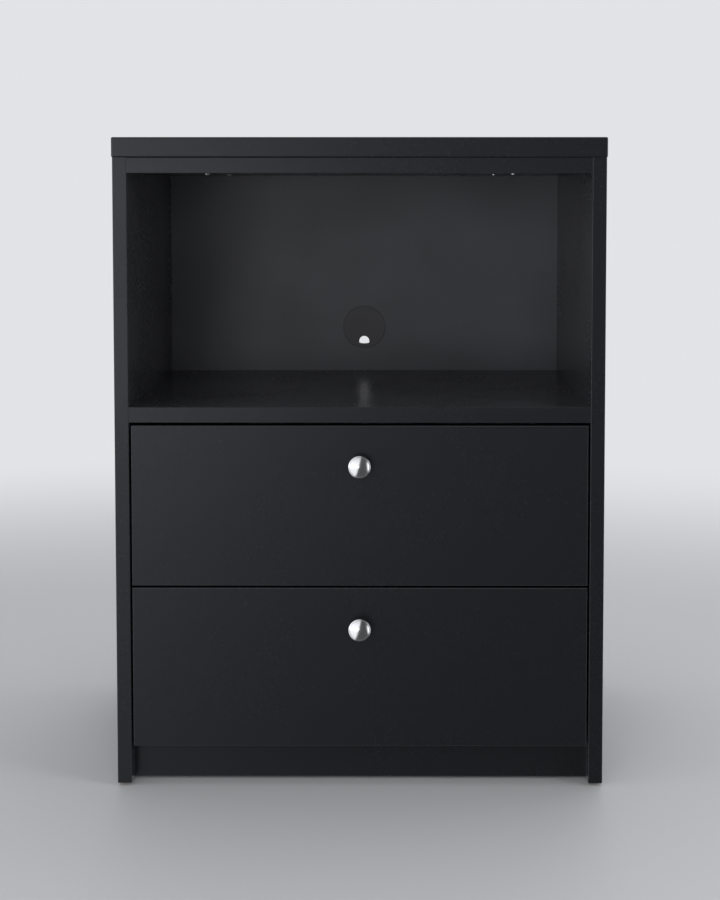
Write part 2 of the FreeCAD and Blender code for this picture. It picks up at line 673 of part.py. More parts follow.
def drawer_rail(side, drawer):
    """C section on the box, open towards the cabinet. Each lip curls under the inner balls."""
    lip = INNER_BALL_OUT - RACE_R
    tip = INNER_BALL_Z + RAIL_LIP
    profile = [(lip, -tip), (lip, -INNER_FLANGE), (INNER_WEB, -INNER_FLANGE)]
    profile += [(out, -up) for out, up in reversed(profile)]
    z = rail_z(drawer)
    section = rolled(profile, [RACE_R, BEND_R, BEND_R, RACE_R], RAIL_SHEET, side, z, RAIL_Y, RAIL_LENGTH)
    screws = [p for s, p in drawer_rail_screw_places(drawer) if s == side]
    holes = [flat_screw_hole(RAIL_SCREW, p, V(-side, 0, 0)) for p in screws]
    return drilled(section, holes + spare_slots(side * (INNER_X - INNER_WEB), z))


def bumper(side, drawer):
    """Plastic stop in the back end of a cabinet rail, which the middle rail meets when the drawer is shut."""
    x = INNER_X - RAIL_SHEET
    z = rail_z(drawer)
    end = RAIL_Y + RAIL_LENGTH
    half = BUMPER_HEIGHT / 2
    solid = block(side * x, side * (x - BUMPER_OUT), end - BUMPER_LENGTH, end, z - half, z + half)
    inner = side * (x - BUMPER_OUT)
    return rounded(solid, BUMPER_R, lambda b: at(b.XMin, inner) and at(b.XMax, inner))


def release_lever(side, drawer):
    """Flat plastic lever on the drawer rail's web: two round ends and the straight edges that touch both."""
    x = side * (INNER_X - RAIL_SPACE + RAIL_SHEET)
    z = rail_z(drawer)
    pivot = V(x, RAIL_Y + RAIL_LENGTH / 2 - LEVER_AHEAD, z)
    tip = V(x, pivot.y - LEVER_LENGTH, z)
    lean = math.acos((LEVER_PIVOT_R - LEVER_TIP_R) / LEVER_LENGTH)
    upper, lower = (V(0, -math.cos(lean), sign * math.sin(lean)) for sign in (1, -1))
    a, b = pivot + upper * LEVER_PIVOT_R, tip + upper * LEVER_TIP_R
    c, d = tip + lower * LEVER_TIP_R, pivot + lower * LEVER_PIVOT_R
    edges = [
        Part.LineSegment(a, b),
        Part.Arc(b, tip - V(0, LEVER_TIP_R, 0), c),
        Part.LineSegment(c, d),
        Part.Arc(d, pivot + V(0, LEVER_PIVOT_R, 0), a),
    ]
    outline = Part.Wire([edge.toShape() for edge in edges])
    return Part.Face(outline).extrude(V(side * LEVER_T, 0, 0))


def ball_cage(side, drawer, web, ball_out, ball_z, reach, rise):
    """A thin U-shaped cage and its balls. The sheet grips each ball rise above the ball's middle."""
    z = rail_z(drawer)
    start = RAIL_Y + (RAIL_LENGTH - CAGE_LENGTH) / 2
    sheet_z = ball_z + rise
    profile = [(ball_out + reach, -sheet_z), (web, -sheet_z)]
    profile += [(out, -up) for out, up in reversed(profile)]
    bend = CAGE_SHEET
    cage = rolled(profile, [bend, bend], CAGE_SHEET, side, z, start, CAGE_LENGTH)
    nearest = max(0.0, rise - CAGE_SHEET / 2)  # the grip is at the sheet face nearer the ball's middle
    pocket_r = math.sqrt(BALL_R**2 - nearest**2)
    x = side * (INNER_X - ball_out)
    pockets, balls = [], []
    for y in spread(start + CAGE_END, start + CAGE_LENGTH - CAGE_END, BALLS_PER_ROW):
        for up in (-1, 1):
            sheet = V(x, y, z + up * sheet_z - CAGE_SHEET)
            pockets.append(rod(pocket_r, 2 * CAGE_SHEET, sheet, V(0, 0, 1)))
            balls.append(Part.makeSphere(BALL_R, V(x, y, z + up * ball_z)))
    return [cage.cut(pockets)] + balls


def outer_cage(side, drawer):
    web = RAIL_SHEET + RAIL_WEB_GAP / 2
    return ball_cage(side, drawer, web, OUTER_BALL_OUT, OUTER_BALL_Z, OUTER_CAGE_REACH, 0.0)


def inner_cage(side, drawer):
    middle_face = MIDDLE_WEB + RAIL_SHEET / 2
    lip_face = INNER_BALL_OUT - RACE_R - RAIL_SHEET / 2
    web = (middle_face + lip_face) / 2
    return ball_cage(side, drawer, web, INNER_BALL_OUT, INNER_BALL_Z, INNER_CAGE_REACH, INNER_CAGE_RISE)


# ---------------------------------------------------------------- drawers
def front_z(drawer):
    """Lower edge of a drawer's front."""
    return LOWER_FRONT_Z + drawer * FRONT_PITCH


def box_z(drawer):
    """Lower edge of a drawer's box."""
    return front_z(drawer) + BOX_RISE


def knob_foot(drawer):
    return V(0, FRONT_Y + FRONT_SETBACK, front_z(drawer) + FRONT_HEIGHT - KNOB_DROP)


def knob(drawer):
    """Turned mushroom knob with a domed face and a threaded blind hole."""
    rim = KNOB_PROJECTION - KNOB_DOME
    under = rim - KNOB_RIM_T
    edge_r = KNOB_R - KNOB_EDGE_R
    foot_top = KNOB_FOOT_T + KNOB_FOOT_R - KNOB_NECK_R  # end of the fillet round the foot
    neck_top = (foot_top + under) / 2
    wide, high = edge_r - KNOB_NECK_R, under - neck_top
    flare_r = (wide**2 + high**2) / (2 * wide)
    outline = [
        (0, 0),
        (KNOB_FOOT_R, 0),
        (KNOB_FOOT_R, KNOB_FOOT_T),
        sweep((KNOB_FOOT_R, KNOB_FOOT_T), (KNOB_FOOT_R, foot_top), (KNOB_NECK_R, foot_top)),
        (KNOB_NECK_R, neck_top),
        sweep((KNOB_NECK_R, neck_top), (KNOB_NECK_R + flare_r, neck_top), (edge_r, under)),
        sweep((edge_r, under), (edge_r, under + KNOB_EDGE_R), (KNOB_R, under + KNOB_EDGE_R)),
        (KNOB_R, rim - KNOB_EDGE_R),
        sweep((KNOB_R, rim - KNOB_EDGE_R), (edge_r, rim - KNOB_EDGE_R), (edge_r, rim)),
        cap(edge_r, rim, KNOB_PROJECTION),
    ]
    solid = turned(outline, knob_foot(drawer), V(0, -1, 0))
    bore = rod(KNOB_SCREW_R + FASTENER_FIT, KNOB_SCREW_BITE + HOLE_END, knob_foot(drawer), V(0, -1, 0))
    return solid.cut(bore)


def knob_screw_size():
    return (KNOB_SCREW_R, FRONT_T + BOX_T + KNOB_SCREW_BITE, *KNOB_SCREW_HEAD)


def knob_screw_seat(drawer):
    foot = knob_foot(drawer)
    return V(foot.x, FRONT_BACK_Y + BOX_T, foot.z)


def front_screw_size():
    return (BOARD_SCREW_R, BOX_T + FRONT_SCREW_IN_FRONT, *BOARD_SCREW_HEAD)


def front_screw_seats(drawer):
    z = box_z(drawer)
    return [
        V(x, FRONT_BACK_Y + BOX_T, up)
        for x in (-FRONT_SCREW_OUT, FRONT_SCREW_OUT)
        for up in (z + FRONT_SCREW_EDGE, z + BOX_HEIGHT - FRONT_SCREW_EDGE)
    ]


def front_holes(drawer):
    """Holes of the screws that pass from the box front into the false front."""
    holes = [pan_screw_hole(front_screw_size(), p, V(0, -1, 0)) for p in front_screw_seats(drawer)]
    return holes + [pan_screw_hole(knob_screw_size(), knob_screw_seat(drawer), V(0, -1, 0))]


def false_front(drawer):
    half = INNER_X - FRONT_SIDE_GAP
    front = FRONT_Y + FRONT_SETBACK
    z = front_z(drawer)
    board = block(-half, half, front, FRONT_BACK_Y, z, z + FRONT_HEIGHT)
    board = rounded(board, EDGE_BAND_R, lambda b: at(b.YMin, front) and at(b.YMax, front))
    return drilled(board, front_holes(drawer))


def box_bottom_z(drawer):
    return box_z(drawer) + BOX_BOTTOM_RISE + GROOVE_FIT


def box_groove(drawer):
    """The room that the bottom takes in the sides and the front, open at the back."""
    half = BOX_X - BOX_T + GROOVE_DEPTH
    z = box_bottom_z(drawer)
    front = FRONT_BACK_Y + BOX_T - GROOVE_DEPTH
    return block(-half, half, front, BOX_BACK_Y, z - GROOVE_FIT, z + BOX_BOTTOM_T + GROOVE_FIT)


def box_screw_places(drawer):
    """(side, place on the box side's outer face) of the screws into the box's front and back."""
    corners = [FRONT_BACK_Y + BOX_T / 2, BOX_BACK_Y - BOX_T / 2]
    heights = [box_z(drawer) + BOX_HEIGHT - drop for drop in BOX_SCREW_DROPS]
    return [(side, V(side * BOX_X, y, z)) for side in SIDES.values() for y in corners for z in heights]


def box_screw_holes(drawer):
    return [flat_screw_hole(BOX_SCREW, p, V(-side, 0, 0)) for side, p in box_screw_places(drawer)]


def box_side(side, drawer):
    z = box_z(drawer)
    board = block(side * (BOX_X - BOX_T), side * BOX_X, FRONT_BACK_Y, BOX_BACK_Y, z, z + BOX_HEIGHT)
    board = rounded(board, EDGE_BAND_R, lambda b: along_y(b) and at(b.ZMin, z + BOX_HEIGHT))
    holes = [box_groove(drawer)] + [h for h in box_screw_holes(drawer) if h.BoundBox.Center.x * side > 0]
    rail_screws = [p for s, p in drawer_rail_screw_places(drawer) if s == side]
    holes += [flat_screw_hole(RAIL_SCREW, p, V(-side, 0, 0)) for p in rail_screws]
    return drilled(board, holes)


def box_front(drawer):
    half = BOX_X - BOX_T
    z = box_z(drawer)
    board = block(-half, half, FRONT_BACK_Y, FRONT_BACK_Y + BOX_T, z, z + BOX_HEIGHT)
    inner, top = FRONT_BACK_Y + BOX_T, z + BOX_HEIGHT
    board = rounded(board, EDGE_BAND_R, lambda b: along_x(b) and at(b.ZMin, top) and at(b.YMin, inner))
    return drilled(board, [box_groove(drawer)] + box_screw_holes(drawer) + front_holes(drawer))


def box_back(drawer):
    """Back board, which stands on the bottom."""
    half = BOX_X - BOX_T
    low = box_bottom_z(drawer) + BOX_BOTTOM_T
    high = box_z(drawer) + BOX_HEIGHT
    board = block(-half, half, BOX_BACK_Y - BOX_T, BOX_BACK_Y, low, high)
    board = rounded(board, EDGE_BAND_R, lambda b: along_x(b) and at(b.ZMin, high))
    return drilled(board, box_screw_holes(drawer) + bottom_screw_holes(drawer))


def bottom_screw_places(drawer):
    z = box_bottom_z(drawer)
    return [V(x, BOX_BACK_Y - BOX_T / 2, z) for x in (-BOTTOM_SCREW_OUT, 0.0, BOTTOM_SCREW_OUT)]


def bottom_screw_holes(drawer):
    return [flat_screw_hole(PANEL_SCREW, p, V(0, 0, 1)) for p in bottom_screw_places(drawer)]


def box_bottom(drawer):
    """Thin bottom, slid in from behind and screwed up into the back."""
    half = BOX_X - BOX_T + GROOVE_DEPTH - GROOVE_FIT
    z = box_bottom_z(drawer)
    front = FRONT_BACK_Y + BOX_T - GROOVE_DEPTH + GROOVE_FIT
    board = block(-half, half, front, BOX_BACK_Y, z, z + BOX_BOTTOM_T)
    return drilled(board, bottom_screw_holes(drawer))


# ---------------------------------------------------------------- assembly
def carcass_parts():
    parts = {name: [deck(name, z, front)] for name, z, front, _ in decks()}
    for name, side in SIDES.items():
        parts[f"{name}_side_panel"] = [side_panel(side)]
    front_plinth, rear_plinth = (plinth(front) for front in plinth_fronts())
    parts["worktop"] = [worktop()]
    parts["back_panel"] = [back_panel()]
    parts["cable_grommet"] = [grommet_ring(), grommet_cap()]
    parts["front_plinth"] = [front_plinth]
    parts["rear_plinth"] = [rear_plinth]
    parts["floor_glides"] = [glide(foot) for _, foot in glide_places()]
    parts["cam_discs"] = [cam_disc(*place) for place in cam_places()]
    parts["cam_bolts"] = [cam_bolt(side, y, z) for side, y, z, _ in cam_places()]
    parts["carcass_dowels"] = [dowel(*place) for place in dowel_places()]
    parts["worktop_screws"] = [pan_screw(worktop_screw_size(), p, V(0, 0, 1)) for p in worktop_screw_places()]
    parts["back_panel_screws"] = [flat_screw(PANEL_SCREW, p, V(0, -1, 0)) for p in back_screw_places()]
    parts["rail_bumpers"] = [bumper(side, d) for d in range(DRAWER_COUNT) for side in SIDES.values()]
    rail_screws = [flat_screw(RAIL_SCREW, p, V(side, 0, 0)) for side, p in cabinet_rail_screw_places()]
    parts["cabinet_rail_screws"] = rail_screws
    return parts


def rail_parts(drawer, label):
    parts = {}
    for name, side in SIDES.items():
        parts[f"{label}_{name}_cabinet_rail"] = [cabinet_rail(side, drawer)]
        parts[f"{label}_{name}_middle_rail"] = [middle_rail(side, drawer)]
        parts[f"{label}_{name}_drawer_rail"] = [drawer_rail(side, drawer)]
    parts[f"{label}_release_levers"] = [release_lever(side, drawer) for side in SIDES.values()]
    parts[f"{label}_outer_ball_cages"] = outer_cage(LEFT, drawer) + outer_cage(RIGHT, drawer)
    parts[f"{label}_inner_ball_cages"] = inner_cage(LEFT, drawer) + inner_cage(RIGHT, drawer)
    return parts


def drawer_parts(drawer, label):
    rail_screws = [flat_screw(RAIL_SCREW, p, V(-s, 0, 0)) for s, p in drawer_rail_screw_places(drawer)]
    front_screws = [pan_screw(front_screw_size(), p, V(0, -1, 0)) for p in front_screw_seats(drawer)]
    box_screws = [flat_screw(BOX_SCREW, p, V(-s, 0, 0)) for s, p in box_screw_places(drawer)]
    bottom_screws = [flat_screw(PANEL_SCREW, p, V(0, 0, 1)) for p in bottom_screw_places(drawer)]
    return {
        f"{label}_drawer_front": [false_front(drawer)],
        f"{label}_box_left_side": [box_side(LEFT, drawer)],
        f"{label}_box_right_side": [box_side(RIGHT, drawer)],
        f"{label}_box_front": [box_front(drawer)],
        f"{label}_box_back": [box_back(drawer)],
        f"{label}_box_bottom": [box_bottom(drawer)],
        f"{label}_knob": [knob(drawer)],
        f"{label}_knob_screw": [pan_screw(knob_screw_size(), knob_screw_seat(drawer), V(0, -1, 0))],
        f"{label}_front_screws": front_screws,
        f"{label}_box_screws": box_screws,
        f"{label}_bottom_screws": bottom_screws,
        f"{label}_drawer_rail_screws": rail_screws,
    }


def main():
    os.makedirs("parts", exist_ok=True)
    parts = carcass_parts()
    for drawer, label in enumerate(DRAWERS):
        parts.update(rail_parts(drawer, label))
        parts.update(drawer_parts(drawer, label))
    for name, solids in parts.items():
        shape = solids[0] if len(solids) == 1 else Part.makeCompound(solids)
        shape.exportStep(os.path.join("parts", name + ".step"))
    print(len(parts), "sub-parts written")


main()
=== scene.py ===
"""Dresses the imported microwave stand: board facings, plated steel, turned knobs, screws and a studio.

Metres, +Z up, the front towards -Y, as the frame has them.
"""

import math

import bmesh
import bpy
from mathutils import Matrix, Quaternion, Vector


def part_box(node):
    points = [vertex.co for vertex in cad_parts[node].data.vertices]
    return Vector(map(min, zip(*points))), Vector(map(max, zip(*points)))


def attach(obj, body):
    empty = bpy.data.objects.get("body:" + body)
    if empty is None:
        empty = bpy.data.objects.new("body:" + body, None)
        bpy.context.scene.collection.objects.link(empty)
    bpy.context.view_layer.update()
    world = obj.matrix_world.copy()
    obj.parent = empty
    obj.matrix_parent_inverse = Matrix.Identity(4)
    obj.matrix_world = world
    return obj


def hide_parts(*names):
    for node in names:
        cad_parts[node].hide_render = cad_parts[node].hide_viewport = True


bl_info = {
    "name": "Microwave Stand",
    "version": (1, 0, 0),
    "blender": (4, 5, 0),
    "location": "View3D > Sidebar > Stand",
    "description": "Faces, plates and screws the packed microwave stand, and sets a studio round it",
    "category": "Object",
}

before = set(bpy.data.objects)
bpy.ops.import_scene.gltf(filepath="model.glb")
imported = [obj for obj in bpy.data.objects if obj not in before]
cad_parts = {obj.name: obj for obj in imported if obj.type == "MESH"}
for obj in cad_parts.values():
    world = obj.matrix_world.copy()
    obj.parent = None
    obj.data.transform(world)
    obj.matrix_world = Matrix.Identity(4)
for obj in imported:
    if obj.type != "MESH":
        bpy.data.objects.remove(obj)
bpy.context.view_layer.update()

MM = 0.001
SKIN = 0.05 * MM  # depth within which a point counts as lying on a face
CHIP_DEPTH = 0.35 * MM  # relief of sawn chipboard
HARD_FACE = 0.3 * MM  # depth of the two faces of hardboard
WELD = 0.002 * MM  # points nearer than this are merged
SAME_SCREW = 12.0 * MM  # points of one screw lie within this of each other, across its axis
SMOOTH_ANGLE = math.radians(32.0)  # edges sharper than this stay sharp
RECESS_TURN = math.radians(37.0)  # turn of each screw's recess from the one before it
FLOOR_CORNERS = 96
X, Y, Z = 0, 1, 2
DRAWERS = ("upper", "lower")
SIDES = ("left", "right")

knob_low, knob_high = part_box("upper_knob")


# ---------------------------------------------------------------- sizes and colours
def length(name, description, default, **limits):
    """A size in metres that a user may change."""
    return bpy.props.FloatProperty(
        name=name, description=description, default=default, unit="LENGTH", precision=5, min=0.0, **limits
    )


def colour(name, description, default):
    """A colour, in linear light."""
    return bpy.props.FloatVectorProperty(
        name=name, description=description, default=default, subtype="COLOR", size=3, min=0.0, max=1.0
    )


def share(name, description, default):
    """A share of something, from 0 to 1."""
    return bpy.props.FloatProperty(
        name=name, description=description, default=default, subtype="FACTOR", min=0.0, max=1.0
    )


def count(name, description, default, lowest):
    """A whole number."""
    return bpy.props.IntProperty(name=name, description=description, default=default, min=lowest)


def power(name, description, default):
    """A lamp's power in watts."""
    return bpy.props.FloatProperty(name=name, description=description, default=default, unit="POWER", min=0.0)


def angle(name, description, default):
    """A turn in radians, shown in degrees."""
    return bpy.props.FloatProperty(name=name, description=description, default=default, subtype="ANGLE")


class KnobSizes(bpy.types.PropertyGroup):
    """Sizes of the turned drawer knobs."""

    radius: length("Head radius", "Radius of the head at its rim", (knob_high.x - knob_low.x) / 2)
    projection: length("Projection", "How far the knob stands out from the front", knob_high.y - knob_low.y)
    rim_thickness: length("Rim thickness", "Thickness of the head at its rim", 3.4 * MM)
    edge_radius: length("Rim rounding", "Rounding of the rim's two corners", 1.2 * MM)
    dome: length("Dome", "Rise of the domed face", 4.2 * MM)
    foot_radius: length("Foot radius", "Radius of the foot on the drawer front", 8.0 * MM)
    foot_thickness: length("Foot thickness", "Thickness of the foot's straight edge", 1.6 * MM)
    neck_radius: length("Neck radius", "Radius of the waist", 5.5 * MM)
    groove_inset: length("Groove inset", "Fine groove in the face, from the rim", 1.5 * MM)
    groove_width: length("Groove width", "Width of the fine groove", 0.35 * MM)
    groove_depth: length("Groove depth", "Depth of the fine groove", 0.18 * MM)
    steps: count("Steps", "Steps of the turning", 112, 24)


class ScrewSizes(bpy.types.PropertyGroup):
    """Sizes of the cross-headed screws that the frame does not give."""

    board_shank: length("Board screw shank", "Shank radius of the worktop and front screws", 2.0 * MM)
    board_head: length("Board screw head", "Head height of the worktop and front screws", 2.8 * MM)
    knob_head: length("Knob screw head", "Head height of the knob screws", 2.5 * MM)
    panel_shank: length("Panel screw shank", "Shank radius of the back and bottom screws", 1.5 * MM)
    panel_head: length("Panel screw head", "Head height of the back and bottom screws", 1.8 * MM)
    rail_shank: length("Rail screw shank", "Shank radius of the rail screws", 1.6 * MM)
    rail_head: length("Rail screw head", "Head height of the rail screws", 1.1 * MM)
    box_shank: length("Box screw shank", "Shank radius of the drawer box screws", 2.2 * MM)
    box_head: length("Box screw head", "Head height of the drawer box screws", 2.6 * MM)
    recess_span: share("Recess span", "Cross recess across its arms, as a share of the head", 0.62)
    recess_width: share("Recess width", "Width of an arm, as a share of the head", 0.15)
    recess_depth: share("Recess depth", "Depth of the recess, as a share of the head's height", 0.62)
    recess_taper: share("Recess taper", "Size of the recess floor, as a share of its mouth", 0.55)
    steps: count("Steps", "Steps of the turning", 28, 12)


class BoardFinish(bpy.types.PropertyGroup):
    """Facings and cores of the boards."""

    charcoal: colour("Charcoal", "Melamine facing of the carcass and drawer fronts", (0.0100, 0.0104, 0.0118))
    charcoal_deep: colour("Charcoal, deeper", "Darker clouds in the charcoal facing", (0.0082, 0.0086, 0.0098))
    # Painted highlight: a lighter rim round the banded front faces, partly the scraped banding and partly
    # standing in for the glint on the rounded edges.
    scraped: colour("Scraped banding", "Scraped rim round a banded front face", (0.0300, 0.0308, 0.0335))
    # Painted light: a lighter charcoal on the faces that look into the niche, standing in for light that lifts
    # them there; the boards are the same charcoal throughout.
    niche_painted_light: colour("Lining", "Facing of the boards that looks into the niche", (0.0430, 0.0440, 0.0485))
    # The back panel's facing, set lighter than the boards' charcoal: partly its own colour, partly painted
    # light lifting the back of the niche.
    back_facing_and_painted_light: colour("Back facing", "Facing of the back panel, towards the niche", (0.0350, 0.0362, 0.0425))
    back_rough: colour("Back, outside", "Lacquered rough side of the back panel", (0.036, 0.034, 0.033))
    drawer: colour("Drawer grey", "Melamine facing of the drawer boxes", (0.300, 0.302, 0.312))
    drawer_deep: colour("Drawer grey, deeper", "Darker threads in the drawer facing", (0.235, 0.237, 0.247))
    chip_light: colour("Chips, light", "Light chips of a sawn chipboard edge", (0.420, 0.285, 0.160))
    chip_dark: colour("Chips, dark", "Dark chips of a sawn chipboard edge", (0.150, 0.090, 0.048))
    fibre: colour("Fibreboard", "Cut edge and bare side of hardboard", (0.165, 0.090, 0.044))
    facing: length("Facing thickness", "Thickness of the melamine facing", 0.35 * MM)
    banding: length("Edge banding", "Thickness of the edge banding", 0.8 * MM)
    # Width of the lighter rim that is painted as a highlight round the front faces.
    scraped_highlight_width: length("Scraping", "Width of the scraped rim of the banding", 1.1 * MM)
    glue: length("Glue line", "Width of the glue line behind the banding", 0.14 * MM)
    glue_line: colour("Glue line, colour", "Colour of the glue line behind the banding", (0.003, 0.003, 0.003))
    # How strongly the painted highlight rim shows on the carcass boards.
    rim: share("Carcass rim", "How much of the scraped rim shows on the carcass boards", 0.30)
    gloss: share("Charcoal gloss", "Specular level of the charcoal facing", 0.27)
    sheen: colour("Charcoal sheen", "Tint of the charcoal facing's gloss", (0.90, 0.94, 1.0))
    back_gloss: share("Back gloss", "Specular level of the back panel", 0.38)


class MetalFinish(bpy.types.PropertyGroup):
    """Colours of the metals and plastics."""

    nickel: colour("Nickel", "Satin nickel of the knobs", (0.780, 0.785, 0.795))
    zinc: colour("Zinc", "Bright zinc plating of the screws", (0.620, 0.625, 0.630))
    zinc_warm: colour("Zinc, warm", "Warm bloom in the zinc plating", (0.600, 0.570, 0.490))
    rail: colour("Rail steel", "Zinc plated steel of the rails", (0.550, 0.565, 0.580))
    # Painted shade: the rails' sheared ends are coloured near black, which hides their glint in the gaps beside
    # the drawer fronts.
    bare: colour("Bare steel", "Sheared ends of the rails", (0.034, 0.032, 0.031))
    bearing: colour("Bearing steel", "Balls and cages of the rails", (0.730, 0.735, 0.745))
    cast: colour("Cast zinc", "Cam discs", (0.430, 0.430, 0.440))
    plastic: colour("Plastic", "Bumpers, levers and glides", (0.021, 0.021, 0.023))
    beech: colour("Beech", "Dowels", (0.560, 0.370, 0.210))


class StageSettings(bpy.types.PropertyGroup):
    """Floor, lamps and camera."""

    floor: colour("Floor", "Plain pale floor", (0.560, 0.570, 0.585))
    backdrop: colour("Backdrop", "Plain pale backdrop", (0.760, 0.770, 0.790))
    floor_radius: length("Floor radius", "Radius of the floor", 9.0)
    fade_start: length("Fade start", "Distance at which the floor starts to turn into the backdrop", 0.95)
    fade_end: length("Fade end", "Distance at which the floor has turned into the backdrop", 2.9)
    wall_power: power("Wall lamp", "Power of the large lamp at the left", 19.0)
    wall_roll: angle("Wall roll", "How far the large lamp leans", math.radians(-20.0))
    fill_power: power("Fill lamp", "Power of the lamp in front, which lights the niche", 42.0)
    strip_power: power("Strip lamp", "Power of the tall lamp at the right", 20.0)
    top_power: power("Top lamp", "Power of the overhead lamp", 34.0)
    rear_power: power("Rear lamp", "Power of the lamp behind the stand", 26.0)
    ambient: share("Ambient", "Level of the light from all round", 0.36)
    camera_place: bpy.props.FloatVectorProperty(
        name="Camera",
        description="Place of the camera",
        default=(0.03748, -2.62766, 0.81234),
        subtype="TRANSLATION",
        unit="LENGTH",
    )
    camera_pitch: angle("Pitch", "How far the camera looks down", 0.06547)
    camera_yaw: angle("Yaw", "How far the camera turns to the left", 0.00338)
    camera_lens: bpy.props.FloatProperty(
        name="Lens", description="Focal length", default=71.541, subtype="DISTANCE_CAMERA", min=1.0
    )
    camera_shift: bpy.props.FloatVectorProperty(
        name="Shift", description="Sideways and upward shift of the lens", default=(-0.02385, -0.16), size=2
    )


# ---------------------------------------------------------------- node helpers
def add(tree, kind, inputs=None, **settings):
    """A new shader node, with its settings and its inputs' values or links."""
    node = tree.nodes.new("ShaderNode" + kind)
    for name, value in settings.items():
        setattr(node, name, value)
    for socket, value in (inputs or {}).items():
        if isinstance(value, bpy.types.NodeSocket):
            tree.links.new(value, node.inputs[socket])
        else:
            node.inputs[socket].default_value = value
    return node


def maths(tree, operation, first, second=0.0):
    """One step of arithmetic on sockets or numbers."""
    return add(tree, "Math", {0: first, 1: second}, operation=operation).outputs[0]


def times(tree, *values):
    """The product of masks, heights or numbers. The first is a socket."""
    product = values[0]
    for value in values[1:]:
        product = maths(tree, "MULTIPLY", product, value)
    return product


def over(tree, value, limit):
    """1 where value is greater than limit."""
    return maths(tree, "GREATER_THAN", value, limit)


def under(tree, value, limit):
    """1 where value is less than limit."""
    return maths(tree, "LESS_THAN", value, limit)


def any_of(tree, masks):
    """The greatest of several masks."""
    total = masks[0]
    for mask in masks[1:]:
        total = maths(tree, "MAXIMUM", total, mask)
    return total


def ramp(tree, value, low, high, to_low=0.0, to_high=1.0):
    """value carried from low..high to to_low..to_high, held at both ends."""
    inputs = {"Value": value, "From Min": low, "From Max": high, "To Min": to_low, "To Max": to_high}
    return add(tree, "MapRange", inputs, clamp=True).outputs["Result"]


def mixed(tree, factor, first, second):
    """The colour between two colours. Each is a socket or three numbers."""
    node = add(tree, "Mix", data_type="RGBA", clamp_factor=True)
    for index, value in ((0, factor), (6, first), (7, second)):
        if isinstance(value, bpy.types.NodeSocket):
            tree.links.new(value, node.inputs[index])
        else:
            node.inputs[index].default_value = value if index == 0 else (*value, 1.0)
    return node.outputs[2]


def object_axes(tree):
    """X, Y and Z of the object coordinates."""
    return add(tree, "SeparateXYZ", {0: add(tree, "TexCoord").outputs["Object"]}).outputs


def placed(tree, scale=(1.0, 1.0, 1.0), centre=(0.0, 0.0, 0.0)):
    """Object coordinates measured from centre, then stretched."""
    here = add(tree, "TexCoord").outputs["Object"]
    location = tuple(-c * s for c, s in zip(centre, scale))
    return add(tree, "Mapping", {"Vector": here, "Location": location, "Scale": scale}).outputs["Vector"]


def noise(tree, vector, scale, detail=2.0, roughness=0.5):
    """Cloudy noise from 0 to 1, with scale clouds to the metre."""
    inputs = {"Vector": vector, "Scale": scale, "Detail": detail, "Roughness": roughness}
    return add(tree, "TexNoise", inputs).outputs["Fac"]


def streaks(tree, scale, detail, roughness=0.5):
    """Noise with its own number of clouds to the metre along X, Y and Z."""
    return noise(tree, placed(tree, scale), 1.0, detail, roughness)


def cells(tree, vector, scale, output="Distance", **settings):
    """A pattern of closed cells, with scale cells to the metre."""
    return add(tree, "TexVoronoi", {"Vector": vector, "Scale": scale}, **settings).outputs[output]


def shaded(colour, factor):
    """A colour made darker or lighter, kept within 1."""
    return tuple(min(1.0, channel * factor) for channel in colour)


def bump(tree, height, depth, base=None):
    """A bump of depth metres where height is 1, on top of an earlier bump."""
    inputs = {"Height": height, "Distance": depth, "Strength": 1.0}
    if base is not None:
        inputs["Normal"] = base
    return add(tree, "Bump", inputs).outputs["Normal"]


def new_material(name):
    """An empty material with its Principled shader, and the tree that they are in."""
    material = bpy.data.materials.new(name)
    material.use_nodes = True
    tree = material.node_tree
    tree.nodes.clear()
    shader = add(tree, "BsdfPrincipled")
    add(tree, "OutputMaterial", {"Surface": shader.outputs["BSDF"]})
    return material, tree, shader


def feed(tree, shader, **inputs):
    """Sets or links the shader's inputs. Underscores in a name stand for spaces."""
    for name, value in inputs.items():
        socket = shader.inputs[name.replace("_", " ")]
        if isinstance(value, bpy.types.NodeSocket):
            tree.links.new(value, socket)
        else:
            socket.default_value = value


def give(nodes, material):
    """Puts the material in every slot of these CAD nodes."""
    for name in nodes:
        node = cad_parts.get(name)
        if node is None or not node.material_slots:
            raise RuntimeError(f"the frame has no node {name} with a material slot")
        for slot in node.material_slots:
            slot.material = material


# ---------------------------------------------------------------- board materials
def beyond(tree, value, place, way):
    """1 on a face that lies at place and looks along way, 1 or -1."""
    return over(tree, value, place - SKIN) if way > 0 else under(tree, value, place + SKIN)


def sawn_mask(tree, ends, faces, facing):
    """1 on the faces left sawn.

    ends are (axis, place, way) of each sawn face. faces is (axis, low, high) of the board's two facings,
    whose thin layers stay unsawn, or None where no sawn face shows its outline. A board right of the middle
    shares its material with the one that mirrors it.
    """
    axes = object_axes(tree)
    sawn = any_of(tree, [beyond(tree, axes[axis], place, way) for axis, place, way in ends])
    if faces is not None:
        axis, low, high = faces
        across = maths(tree, "ABSOLUTE", axes[axis]) if low > 0 and axis == X else axes[axis]
        core = times(tree, over(tree, across, low + facing), under(tree, across, high - facing))
        sawn = times(tree, sawn, core)
    return sawn


